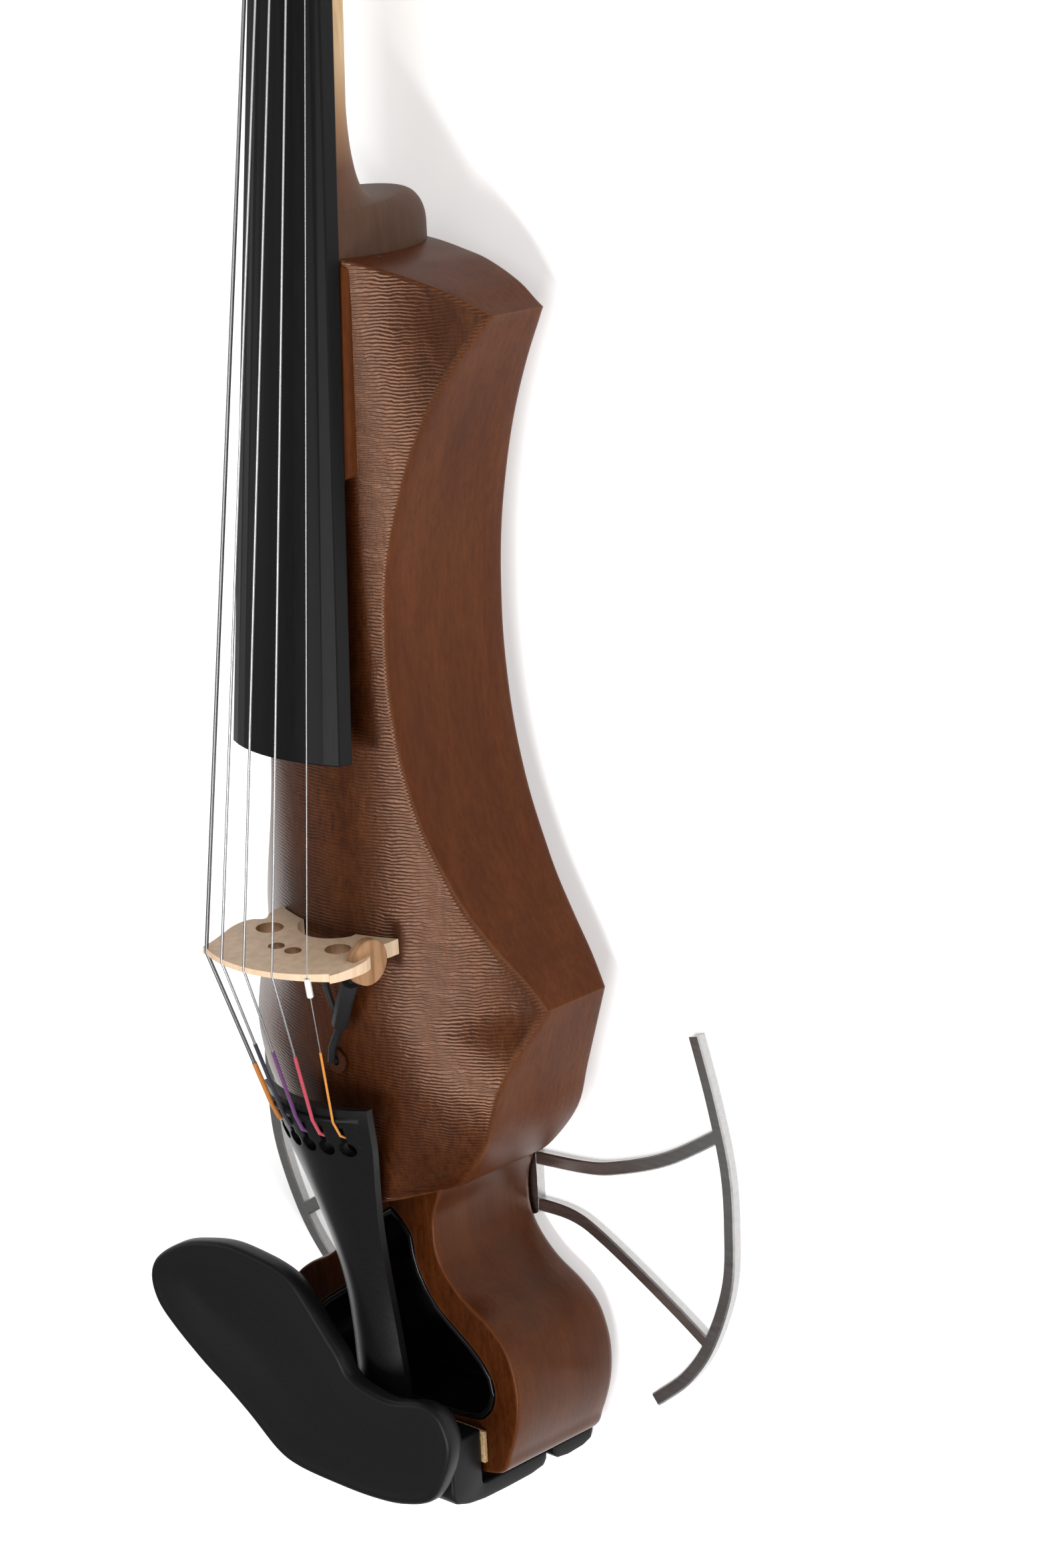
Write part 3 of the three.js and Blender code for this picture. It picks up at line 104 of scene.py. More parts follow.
def curve_through(points, steps, closed=False):
    count = len(points)
    spans = count if closed else count - 1
    fine = []
    for span in range(spans):
        for step in range(steps):
            t = step / steps
            near = []
            for offset in (-1, 0, 1, 2):
                at = span + offset
                near.append(points[at % count] if closed else points[min(max(at, 0), count - 1)])
            fine.append(tuple(smooth_between(a, b, c, d, t) for a, b, c, d in zip(*near)))
    if not closed:
        fine.append(tuple(points[-1]))
    return fine


def even_points(points, count, closed=False):
    # the same curve with its points at equal distances
    line = list(points) + ([points[0]] if closed else [])
    runs = [0.0]
    for a, b in zip(line, line[1:]):
        runs.append(runs[-1] + math.dist(a, b))
    spots = []
    for i in range(count):
        goal = runs[-1] * i / (count if closed else count - 1)
        k = min(max(bisect.bisect_right(runs, goal) - 1, 0), len(line) - 2)
        t = (goal - runs[k]) / max(runs[k + 1] - runs[k], 1e-9)
        spots.append(tuple(mix(p, q, t) for p, q in zip(line[k], line[k + 1])))
    return spots


def moved_out(points, distance):
    # a closed outline with each point moved square to its side, outward when distance is positive
    area = sum(a[0] * b[1] - b[0] * a[1] for a, b in zip(points, points[1:] + points[:1]))
    sign = 1 if area > 0 else -1
    result = []
    for i, point in enumerate(points):
        before = Vector(point[:2]) - Vector(points[i - 1][:2])
        after = Vector(points[(i + 1) % len(points)][:2]) - Vector(point[:2])
        side = before.normalized() + after.normalized()
        outward = Vector((side.y, -side.x)).normalized()
        result.append((point[0] + sign * distance * outward.x, point[1] + sign * distance * outward.y))
    return result


# %% [markdown]
# Materials are all made of nodes. Each reads the object's own coordinates, so the grain keeps
# its scale on every piece. The violin's stained wood has three layers of detail: slow changes
# of tone, fine pores along the grain, and a ripple across it that shows as it catches the light.

# %% Material helpers
def new_material(name):
    material = bpy.data.materials.new(name)
    material.use_nodes = True
    tree = material.node_tree
    shader = tree.nodes["Principled BSDF"]
    return material, tree, shader


def feed(tree, node, **values):
    # a socket is linked to the input of that name, and a plain value is set on it
    for name, value in values.items():
        target = node.inputs[name.replace("_", " ")]
        if hasattr(value, "is_linked"):
            tree.links.new(value, target)
        else:
            target.default_value = value
    return node


def coordinates(tree, stretch=(1, 1, 1)):
    source = tree.nodes.new("ShaderNodeTexCoord")
    mapping = tree.nodes.new("ShaderNodeMapping")
    return feed(tree, mapping, Vector=source.outputs["Object"], Scale=stretch).outputs["Vector"]


def noise(tree, spot, scale, detail=4, roughness=0.55):
    node = tree.nodes.new("ShaderNodeTexNoise")
    feed(tree, node, Vector=spot, Scale=scale, Detail=detail, Roughness=roughness)
    return node.outputs["Fac"]


def ramp(tree, value, stops):
    node = tree.nodes.new("ShaderNodeValToRGB")
    band = node.color_ramp
    while len(band.elements) < len(stops):
        band.elements.new(0.5)
    for element, (position, colour) in zip(band.elements, stops):
        element.position = position
        element.color = (*colour, 1) if len(colour) == 3 else colour
    return feed(tree, node, Fac=value).outputs["Color"]


def blend_colours(tree, share, first, second, kind="MIX"):
    node = tree.nodes.new("ShaderNodeMix")
    node.data_type = "RGBA"
    node.blend_type = kind
    for socket, value in ((0, share), (6, first), (7, second)):
        if hasattr(value, "is_linked"):
            tree.links.new(value, node.inputs[socket])
        elif isinstance(value, (tuple, list)):
            node.inputs[socket].default_value = (*value, 1)
        else:
            node.inputs[socket].default_value = value
    return node.outputs[2]


def add_bump(tree, shader, height, strength, distance, under=None):
    node = tree.nodes.new("ShaderNodeBump")
    feed(tree, node, Strength=strength, Distance=distance, Height=height)
    if under is not None:
        feed(tree, node, Normal=under)
    feed(tree, shader, Normal=node.outputs["Normal"])
    return node.outputs["Normal"]


def stretched_range(tree, value, low, high):
    node = tree.nodes.new("ShaderNodeMapRange")
    return feed(tree, node, Value=value, To_Min=low, To_Max=high).outputs["Result"]


# %% [markdown]
# Stained wood: a red-brown stain under a satin varnish. The stain pools darker in the pores. Crisp edges
# are painted lighter, partly for stain worn thin by rubbing and partly as a painted highlight on the
# rounded edge; the finer pieces mark them with an attribute named edge. A photograph of wood could be
# laid on instead, but nodes keep sharp from near and fit any shape. The varnish is stained too, so its
# shine is tinted warm. The belly, the sides, the tail and the tail's front rim lie differently to the
# lamps, so the same recipe is mixed four times, each darkened by its own factor as painted light and shade.

# %% Stained wood
STAIN_DARK = (0.034, 0.0070, 0.0018)
STAIN_MID = (0.105, 0.0260, 0.0058)
STAIN_LIGHT = (0.200, 0.0620, 0.0150)
EDGE_RUB_AND_HIGHLIGHT = (0.240, 0.0850, 0.0340)
EDGE_SHARE = 0.22
WARM_SHINE = (1.0, 0.61, 0.44, 1)
RIPPLE_SCALE = 310


def stained_wood(name, ripple_strength, pores, painted_shade_factor, gloss, varnish=0.34, calm=0.45,
                 grain=("Y", RIPPLE_SCALE, 8)):
    # calm draws the three stains together, and grain holds the ripple's direction, scale and bend
    material, tree, shader = new_material(name)
    along_grain = coordinates(tree, stretch=(1, 0.16, 1))
    free = coordinates(tree)
    tone = noise(tree, along_grain, 75, detail=6, roughness=0.6)
    shades = []
    # the factor darkens the whole stain: painted light and shade for the faces this copy goes on
    for colour in (STAIN_DARK, STAIN_MID, STAIN_LIGHT):
        shades.append(tuple(mix(c, middle, calm) * painted_shade_factor for c, middle in zip(colour, STAIN_MID)))
    base = ramp(tree, tone, [(0.25, shades[0]), (0.5, shades[1]), (0.78, shades[2])])
    pore = noise(tree, coordinates(tree, stretch=(1, 0.3, 1)), 1500, detail=2)
    pore_mask = ramp(tree, pore, [(0.36, (1, 1, 1)), (0.47, (0, 0, 0))])
    pore_share = stretched_range(tree, pore_mask, 0, pores)
    base = blend_colours(tree, pore_share, base, shades[0])
    streak = noise(tree, coordinates(tree, stretch=(1, 0.24, 1)), 620, detail=3, roughness=0.65)
    streak_stops = [(0.36, (0.62, 0.56, 0.54)), (0.5, (1, 1, 1)), (0.64, (1.35, 1.4, 1.4))]
    streak_tint = ramp(tree, streak, streak_stops)
    base = blend_colours(tree, pores, base, blend_colours(tree, 1.0, base, streak_tint, "MULTIPLY"))
    wave = tree.nodes.new("ShaderNodeTexWave")
    wave.bands_direction, wave_scale, wave_bend = grain
    feed(tree, wave, Vector=free, Scale=wave_scale, Distortion=wave_bend, Detail=3, Detail_Scale=0.4,
         Detail_Roughness=0.6)
    ripple = wave.outputs["Fac"]
    patch = noise(tree, free, 260, detail=3)
    patch_share = stretched_range(tree, patch, 0, ripple_strength)
    ripple_tint = ramp(tree, ripple, [(0, (0.80, 0.78, 0.77)), (1, (1.22, 1.25, 1.28))])
    base = blend_colours(tree, patch_share, base, blend_colours(tree, 1.0, base, ripple_tint, "MULTIPLY"))
    # painted highlight: marked edges turn lighter, for stain worn thin by rubbing and for light caught on the
    # rounded edge
    mark = tree.nodes.new("ShaderNodeAttribute")
    mark.attribute_name = "edge"
    rubbed_and_highlit = stretched_range(tree, mark.outputs["Fac"], 0, EDGE_SHARE)
    base = blend_colours(tree, rubbed_and_highlit, base, EDGE_RUB_AND_HIGHLIGHT)
    feed(tree, shader, Base_Color=base, Roughness=varnish, Specular_IOR_Level=gloss,
         Specular_Tint=WARM_SHINE)
    first = add_bump(tree, shader, ripple, 0.2 * ripple_strength, 0.0003)
    add_bump(tree, shader, pore, 0.15, 0.0002, first)
    return material


# each copy darkens the stain by its own factor: painted light and shade for how its faces lie to the lamps
BELLY_WOOD = stained_wood("belly wood", 1.0, 0.7, painted_shade_factor=0.46, varnish=0.29, gloss=0.47)
WALL_GRAIN = ("Z", 130, 5)
SIDE_WOOD = stained_wood("side wood", 0.14, 0.3, painted_shade_factor=0.78, varnish=0.38, gloss=0.14, calm=0.6,
                         grain=WALL_GRAIN)
TAIL_WOOD = stained_wood("tail wood", 0.12, 0.2, painted_shade_factor=0.6, varnish=0.32, gloss=0.26, calm=0.55,
                         grain=WALL_GRAIN)
SHADED_RIM_WOOD = stained_wood("rim wood painted shade", 0.2, 0.6, painted_shade_factor=0.5, gloss=0.12, calm=0.5)
print("wood finishes", BELLY_WOOD.name, SIDE_WOOD.name, TAIL_WOOD.name, SHADED_RIM_WOOD.name)


# %% [markdown]
# The neck is bare maple at the hand and takes the body's brown stain towards the heel. A ramp
# along Y does the change, with a noise added so that the stain ends in a soft uneven edge.

# %% Maple
def maple(name, heel_stain=False, pale=(0.62, 0.43, 0.24), deep=(0.44, 0.27, 0.13)):
    material, tree, shader = new_material(name)
    along_grain = coordinates(tree, stretch=(1, 0.12, 1))
    fine = noise(tree, along_grain, 420, detail=5)
    base = ramp(tree, fine, [(0.3, deep), (0.55, pale), (0.8, tuple(min(c * 1.12, 1) for c in pale))])
    fleck = noise(tree, coordinates(tree, stretch=(1, 0.35, 1)), 1300, detail=1)
    fleck_mask = ramp(tree, fleck, [(0.28, (0.3, 0.3, 0.3)), (0.38, (0, 0, 0))])
    base = blend_colours(tree, fleck_mask, base, deep)
    if heel_stain:
        source = tree.nodes.new("ShaderNodeTexCoord")
        split = tree.nodes.new("ShaderNodeSeparateXYZ")
        feed(tree, split, Vector=source.outputs["Object"])
        reach = tree.nodes.new("ShaderNodeMapRange")
        feed(tree, reach, Value=split.outputs["Y"], From_Min=0.298, From_Max=0.346)
        heel = ramp(tree, reach.outputs["Result"], [
            (0.0, (0.046, 0.0110, 0.0036)), (0.30, (0.085, 0.024, 0.0085)),
            (0.60, (0.29, 0.15, 0.070)), (1.0, (0.55, 0.38, 0.21)),
        ])
        share = tree.nodes.new("ShaderNodeMapRange")
        feed(tree, share, Value=split.outputs["Y"], From_Min=0.336, From_Max=0.356, To_Min=0.94,
             To_Max=0.0)
        base = blend_colours(tree, share.outputs["Result"], base, heel)
    feed(tree, shader, Base_Color=base, Roughness=0.5, Specular_IOR_Level=0.2)
    add_bump(tree, shader, fine, 0.15, 0.0002)
    return material


NECK_MAPLE = maple("neck maple", heel_stain=True)
BRIDGE_MAPLE = maple("bridge maple", pale=(0.82, 0.60, 0.41), deep=(0.72, 0.51, 0.33))
# a much darker maple for the inner walls of the bridge's holes: painted shade
HOLE_SHADE_MAPLE = maple("bridge hole painted shade", pale=(0.30, 0.17, 0.09), deep=(0.22, 0.115, 0.055))
DISC_WOOD = maple("pickup wood", pale=(0.40, 0.22, 0.11), deep=(0.25, 0.12, 0.05))


# %% [markdown]
# The black pieces differ in gloss: ebony is satin with faint grain, the chinrest is matte moulded
# plastic with a fine texture, and the pocket liner is smooth and shiny. One recipe with a few numbers
# makes them all, which keeps them alike where they should be. The aluminium is greyer than real
# aluminium, because its top would otherwise mirror as much white as the floor and vanish in it.

# %% Black finishes, metal, cork and rubber
def dark_finish(name, colour, roughness, texture, strength, stretch=(1, 1, 1), gloss=0.3):
    material, tree, shader = new_material(name)
    grain = noise(tree, coordinates(tree, stretch=stretch), texture, detail=4)
    lighter = tuple(c * 1.5 for c in colour)
    base = ramp(tree, grain, [(0.35, colour), (0.75, lighter)])
    rough = stretched_range(tree, grain, roughness - 0.05, roughness + 0.07)
    feed(tree, shader, Base_Color=base, Roughness=rough, Specular_IOR_Level=gloss)
    add_bump(tree, shader, grain, strength, 0.0001)
    return material


EBONY = dark_finish("ebony", (0.0038, 0.0038, 0.0041), 0.42, 900, 0.10, stretch=(1, 0.08, 1), gloss=0.12)
TAILPIECE_BLACK = dark_finish("tailpiece black", (0.0052, 0.0052, 0.0055), 0.3, 1400, 0.06, gloss=0.22)
CHINREST_BLACK = dark_finish("chinrest black", (0.0062, 0.0063, 0.0066), 0.42, 2600, 0.16, gloss=0.18)
LINER_BLACK = dark_finish("pocket black", (0.005, 0.005, 0.0055), 0.2, 700, 0.04, gloss=0.35)
PLASTIC_BLACK = dark_finish("moulded black", (0.008, 0.008, 0.0085), 0.45, 2200, 0.15)
RUBBER_BLACK = dark_finish("rubber black", (0.008, 0.008, 0.0085), 0.55, 1800, 0.12)
RUBBER_BROWN = dark_finish("brown rubber", (0.040, 0.0125, 0.0055), 0.6, 1500, 0.1, gloss=0.1)


def metal(name, colour, roughness, stretch, texture, streak, strength):
    material, tree, shader = new_material(name)
    mark = noise(tree, coordinates(tree, stretch=stretch), texture, detail=5, roughness=0.7)
    shade = tuple(c * streak for c in colour)
    base = ramp(tree, mark, [(0.3, shade), (0.7, colour)])
    rough = stretched_range(tree, mark, roughness - 0.08, roughness + 0.1)
    feed(tree, shader, Base_Color=base, Metallic=1.0, Roughness=rough)
    add_bump(tree, shader, mark, strength, 0.0001)
    return material


STEEL = metal("steel", (0.62, 0.62, 0.63), 0.27, (1, 1, 1), 900, 0.85, 0.05)
DARK_STEEL = metal("blackened steel", (0.07, 0.07, 0.075), 0.4, (1, 1, 0.1), 900, 0.8, 0.1)
DARK_STRING = metal("dark winding", (0.20, 0.20, 0.205), 0.36, (1, 6, 1), 1500, 0.8, 0.1)
BRIGHT_STRING = metal("bright winding", (0.42, 0.42, 0.43), 0.36, (1, 6, 1), 1500, 0.9, 0.08)
ALUMINIUM = metal("brushed aluminium", (0.51, 0.503, 0.497), 0.3, (0.12, 1, 1), 900, 0.84, 0.12)


def speckled(name, texture, detail, stops, roughness, bump=None):
    # a plain finish with one noise, used as its colour and, where asked, as its bump
    material, tree, shader = new_material(name)
    speck = noise(tree, coordinates(tree), texture, detail=detail)
    feed(tree, shader, Base_Color=ramp(tree, speck, stops), Roughness=roughness)
    if bump:
        add_bump(tree, shader, speck, *bump)
    return material


cork_stops = [(0.3, (0.24, 0.13, 0.055)), (0.5, (0.56, 0.37, 0.18)), (0.8, (0.70, 0.50, 0.27))]
CORK = speckled("cork sheet", 900, 5, cork_stops, 0.85, bump=(0.5, 0.0004))
white_stops = [(0.3, (0.74, 0.74, 0.72)), (0.7, (0.82, 0.82, 0.80))]
WHITE_PLASTIC = speckled("white plastic", 800, 2, white_stops, 0.38)
board_stops = [(0.48, (0.010, 0.085, 0.035)), (0.52, (0.02, 0.16, 0.07))]
BOARD_GREEN = speckled("circuit board", 420, 0, board_stops, 0.4)


def silk(name, colour):
    # silk is wound round the string, so its threads run round it and show as fine bands along Y
    material, tree, shader = new_material(name)
    thread = tree.nodes.new("ShaderNodeTexWave")
    thread.bands_direction = "Y"
    feed(tree, thread, Vector=coordinates(tree), Scale=1100, Distortion=1.5)
    shade = tuple(c * 0.62 for c in colour)
    base = ramp(tree, thread.outputs["Fac"], [(0.2, shade), (0.7, colour)])
    feed(tree, shader, Base_Color=base, Roughness=0.55, Sheen_Weight=0.3)
    add_bump(tree, shader, thread.outputs["Fac"], 0.4, 0.0001)
    return material


# %% [markdown]
# New pieces start as one ring of points. The ring is extruded again and again, and each new ring is
# laid on the next cross-section, as a boat is planked over its frames. Edges to be painted lighter, for
# stain worn thin by rubbing and as a painted highlight, are marked while their rings are laid.

# %% Mesh helpers
def add_object(name, data):
    thing = bpy.data.objects.new(name, data)
    bpy.context.scene.collection.objects.link(thing)
    return thing


def find_ring_edges(ring):
    members = set(ring)
    edges = []
    for vert in ring:
        for edge in vert.link_edges:
            if edge.other_vert(vert) in members and edge not in edges:
                edges.append(edge)
    return edges


def start_ring(bm, spots):
    ring = bmesh.ops.create_circle(bm, cap_ends=False, segments=len(spots), radius=MM)["verts"]
    for vert, spot in zip(ring, spots):
        vert.co = spot
    return ring


def next_ring(bm, ring, edges, spots):
    grown = bmesh.ops.extrude_edge_only(bm, edges=edges)["geom"]
    fresh = {item for item in grown if isinstance(item, bmesh.types.BMVert)}
    rank = {vert: i for i, vert in enumerate(ring)}
    following = [None] * len(ring)
    for vert in fresh:
        for edge in vert.link_edges:
            other = edge.other_vert(vert)
            if other in rank:
                following[rank[other]] = vert
    for vert, spot in zip(following, spots):
        vert.co = spot
    fresh_edges = [item for item in grown if isinstance(item, bmesh.types.BMEdge)]
    ring_edges = [edge for edge in fresh_edges if edge.verts[0] in fresh and edge.verts[1] in fresh]
    return following, ring_edges


def plank(bm, rows, marks=None):
    """Lay the rows of points ring by ring and give back the first and last ring's edges."""
    edge_layer = bm.verts.layers.float.get("edge") or bm.verts.layers.float.new("edge")
    ring = start_ring(bm, rows[0])
    edges = find_ring_edges(ring)
    first_edges = list(edges)
    for number, row in enumerate(rows):
        if number:
            ring, edges = next_ring(bm, ring, edges, row)
        if marks:
            for vert in ring:
                vert[edge_layer] = marks[number]
    return first_edges, edges


def close_ring(bm, edges):
    bmesh.ops.triangle_fill(bm, use_beauty=True, use_dissolve=False, edges=edges)


def plank_closed(bm, rows, marks=None):
    for edges in plank(bm, rows, marks):
        close_ring(bm, edges)


def finish_piece(name, bm, material, body, replaced=(), crisp=35, tidy=True):
    if tidy:
        bmesh.ops.remove_doubles(bm, verts=bm.verts, dist=2e-6)
        bmesh.ops.recalc_face_normals(bm, faces=bm.faces)
    mesh = bpy.data.meshes.new(name)
    bm.to_mesh(mesh)
    bm.free()
    mesh.shade_smooth()
    mesh.set_sharp_from_angle(angle=math.radians(crisp))
    mesh.materials.clear()
    mesh.materials.append(material)
    piece = add_object(name, mesh)
    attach(piece, body)
    if replaced:
        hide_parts(*replaced)
    print(name, len(mesh.polygons), "faces")
    return piece


def add_bevel(piece, width, segments=2, angle=30):
    modifier = piece.modifiers.new("rounded edges", "BEVEL")
    modifier.width = width * MM
    modifier.segments = segments
    modifier.limit_method = "ANGLE"
    modifier.angle_limit = math.radians(angle)
    modifier.harden_normals = False


def bevel_edges(bm, edges, width, segments):
    return bmesh.ops.bevel(bm, geom=edges, offset=width * MM, offset_type="OFFSET", segments=segments,
                           profile=0.5, affect="EDGES", material=-1)


def upright_edges(bm, least):
    return [e for e in bm.edges if abs((e.verts[0].co - e.verts[1].co).z) > least]


def box_mesh(x0, x1, y0, y1, z0, z1):
    bm = bmesh.new()
    bmesh.ops.create_cube(bm, size=MM)
    middle = place((x0 + x1) / 2, (y0 + y1) / 2, (z0 + z1) / 2)
    sizes = (x1 - x0, y1 - y0, z1 - z0)
    bmesh.ops.scale(bm, vec=sizes, verts=bm.verts)
    bmesh.ops.translate(bm, vec=middle, verts=bm.verts)
    return bm


def carve(piece, cutter_mesh):
    # a Boolean cut, taken into the piece's own mesh at once, so that nothing is left live
    blank = bpy.data.meshes.new("cutter")
    cutter_mesh.to_mesh(blank)
    cutter_mesh.free()
    cutter = add_object("cutter", blank)
    cut = piece.modifiers.new("cut", "BOOLEAN")
    cut.operation = "DIFFERENCE"
    cut.solver = "EXACT"
    cut.object = cutter
    bpy.context.view_layer.update()
    depsgraph = bpy.context.evaluated_depsgraph_get()
    carved = bpy.data.meshes.new_from_object(piece.evaluated_get(depsgraph))
    piece.modifiers.remove(cut)
    piece.data = carved
    bpy.data.objects.remove(cutter)
    bpy.data.meshes.remove(blank)


# %% [markdown]
# Many small solids already have the right shape and only look too sharp. A copy of such a solid has
# its loose triangles merged and its flat faces joined, and a Bevel modifier rounds its edges.

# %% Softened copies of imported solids
def softened(node, material, width=0.4, crisp=35, segments=2, angle=30):
    source = frame["nodes"][node]
    bm = bmesh.new()
    bm.from_mesh(source.data)
    bmesh.ops.remove_doubles(bm, verts=bm.verts, dist=2e-6)
    bmesh.ops.dissolve_limit(bm, angle_limit=math.radians(1.5), verts=bm.verts, edges=bm.edges)
    body = body_of(source)[0]
    piece = finish_piece(node + "_finished", bm, material, body, [node], crisp, tidy=False)
    if width:
        add_bevel(piece, width, segments, angle)
    return piece


# %% [markdown]
# The body is one carved block. Its side walls stand square to the back, so one outline serves at
# every height, except at the neck end, where the end face leans and the outline shifts with height.
# The outline is made in parts that meet at the real corners, and each part is a smooth curve.

# %% The body's outline
CORNER_HALF = 57
BODY_TAIL = -83
BODY_LENGTH = 284
BODY_BACK = 53
BODY_END = BODY_TAIL + BODY_LENGTH
TOP_SLOPE = 0.12
treble_low_shares = [(0.42, 0.012), (0.56, 0.031), (0.765, 0.081), (0.853, 0.133), (1, 0.222)]
treble_high_shares = [
    (1, 0.222), (0.92, 0.256), (0.81, 0.294), (0.705, 0.333), (0.63, 0.369), (0.555, 0.41),
    (0.5, 0.451), (0.46, 0.493), (0.437, 0.534), (0.425, 0.577), (0.428, 0.619),
    (0.44, 0.661), (0.465, 0.703), (0.505, 0.745), (0.558, 0.789), (0.625, 0.831),
    (0.71, 0.874), (0.81, 0.917), (0.885, 0.955), (0.93, 1.068),
]
bass_high_shares = [(0.418, 1.068), (0.418, 0.93), (0.418, 0.791)]
bass_horn_shares = [(0.418, 0.791), (0.6, 0.755), (0.772, 0.714)]
bass_waist_shares = [
    (0.772, 0.714), (0.61, 0.659), (0.52, 0.611), (0.475, 0.56), (0.467, 0.509), (0.493, 0.458),
    (0.54, 0.41), (0.61, 0.369), (0.7, 0.333), (0.81, 0.294), (0.92, 0.256), (1, 0.222),
]
top_shares = [
    (1.2, 0.84), (0.96, 0.921), (0.865, 0.94), (0.775, 0.953), (0.672, 0.968), (0.505, 0.983),
    (0.35, 0.991), (0, 1), (-0.7, 1),
]


def body_line(shares, side=1, shift=0.0):
    spots = [(side * x * CORNER_HALF, BODY_TAIL + y * BODY_LENGTH + shift) for x, y in shares]
    return curve_through(spots, 10)


def crossing(first, second):
    # where two open lines first cross: the points of each up to there, and the point itself
    for i, (a, b) in enumerate(zip(first, first[1:])):
        for k, (c, d) in enumerate(zip(second, second[1:])):
            ab = (b[0] - a[0], b[1] - a[1])
            cd = (d[0] - c[0], d[1] - c[1])
            ac = (c[0] - a[0], c[1] - a[1])
            cross = ab[0] * cd[1] - ab[1] * cd[0]
            if abs(cross) < 1e-9:
                continue
            t = (ac[0] * cd[1] - ac[1] * cd[0]) / cross
            u = (ac[0] * ab[1] - ac[1] * ab[0]) / cross
            if 0 <= t <= 1 and 0 <= u <= 1:
                return i, k, (a[0] + t * ab[0], a[1] + t * ab[1])
    raise ValueError("the two lines do not cross")


EDGE_WIDTH = 0.6


def part_of_outline(line, count):
    # even points, with one more close to each end so that the corner stays crisp
    spots = even_points(line, count)
    for end, inner in ((0, 1), (-1, -2)):
        run = math.dist(spots[end], spots[inner])
        near = tuple(mix(p, q, EDGE_WIDTH / run) for p, q in zip(spots[end], spots[inner]))
        spots.insert(1 if end == 0 else len(spots) - 1, near)
    return spots


def body_outline(level):
    shift = TOP_SLOPE * level
    top = body_line(top_shares, shift=shift)
    treble = body_line(treble_high_shares)
    bass = body_line(bass_high_shares, side=-1)
    i, k, high_corner = crossing(treble, top)
    m, n, low_corner = crossing(top, bass)
    parts = [
        (body_line([(0, 0), (0.2, 0.004), (0.42, 0.012)]), 6),
        (body_line(treble_low_shares), 26),
        (treble[:i + 1] + [high_corner], 96),
        ([high_corner] + top[k + 1:m + 1] + [low_corner], 52),
        ([low_corner] + bass[n + 1:], 18),
        (body_line(bass_horn_shares, side=-1), 12),
        (body_line(bass_waist_shares, side=-1), 70),
        (body_line(treble_low_shares[::-1], side=-1), 26),
        (body_line([(0.42, 0.012), (0.2, 0.004), (0, 0)], side=-1), 6),
    ]
    outline, corners = [], []
    for line, count in parts:
        corners.append(len(outline))
        outline.extend(part_of_outline(line, count)[:-1])
    return outline, corners


LEVEL_STEP = 6
outline_levels = list(range(-54, 7, LEVEL_STEP))
outlines = [body_outline(level)[0] for level in outline_levels]
corner_columns = set(body_outline(0)[1][2:8])
print("outline points", len(outlines[0]), "corners", sorted(corner_columns))


def body_column(i, level):
    place_in = min(max((level - outline_levels[0]) / LEVEL_STEP, 0), len(outline_levels) - 1.001)
    k = int(place_in)
    return tuple(mix(p, q, place_in - k) for p, q in zip(outlines[k][i], outlines[k + 1][i]))


# %% [markdown]
# The belly is arched both ways. A table gives, from the tail to the neck, how high the middle
# stands and how far the edge falls, and every point of the belly follows from it.

# %% The belly's arch
BELLY_CROWN = 3
BELLY_DROP = 30.9
WALL_FOOT = 4
arch_shares = [
    (-0.02, 0.35, 4.3), (0.01, 0.4, 4.1), (0.018, 0.45, 2.7), (0.036, 0.5, 1.63), (0.062, 0.58, 1.04),
    (0.09, 0.66, 0.81), (0.12, 0.74, 0.72), (0.148, 0.82, 0.71), (0.185, 0.9, 0.82), (0.222, 1, 1),
    (0.275, 0.72, 1), (0.328, 0.5, 1), (0.416, 0.33, 1), (0.504, 0.2, 1), (0.592, 0.15, 1),
    (0.68, 0.1, 1), (0.75, -0.12, 1.05), (0.82, -0.33, 1.1), (0.891, -0.44, 1.22),
    (0.962, -0.53, 1.37), (1.04, -0.53, 1.37),
]
arch_table = curve_through(arch_shares, 8)
arch_places = [row[0] for row in arch_table]


def belly_at(x, y):
    share = (y - BODY_TAIL) / BODY_LENGTH
    k = min(max(bisect.bisect_right(arch_places, share) - 1, 0), len(arch_table) - 2)
    low, high = arch_table[k], arch_table[k + 1]
    t = min(max((share - low[0]) / (high[0] - low[0]), 0), 1)
    crown = BELLY_CROWN * mix(low[1], high[1], t)
    drop = BELLY_DROP * mix(low[2], high[2], t)
    return max(crown - drop * (x / CORNER_HALF) ** 2, WALL_FOOT - BODY_BACK)


# %% [markdown]
# The body's rings climb from the back, up the side wall and over a narrow edge, which is marked to be
# painted lighter for stain worn thin by rubbing and as a painted highlight, then close in over the belly
# towards the middle line, where the strings and fingerboard hide the join.

# %% The main body
def body_edge(i):
    # where this column of the wall meets the belly
    level = -10.0
    for _ in range(12):
        x, y = body_column(i, level)
        level = belly_at(x, y)
    return x, y, level


body_count = len(outlines[0])
edge_spots = [body_edge(i) for i in range(body_count)]


def inset_ring(spots, distance):
    return moved_out([(x, y) for x, y, *rest in spots], -distance)


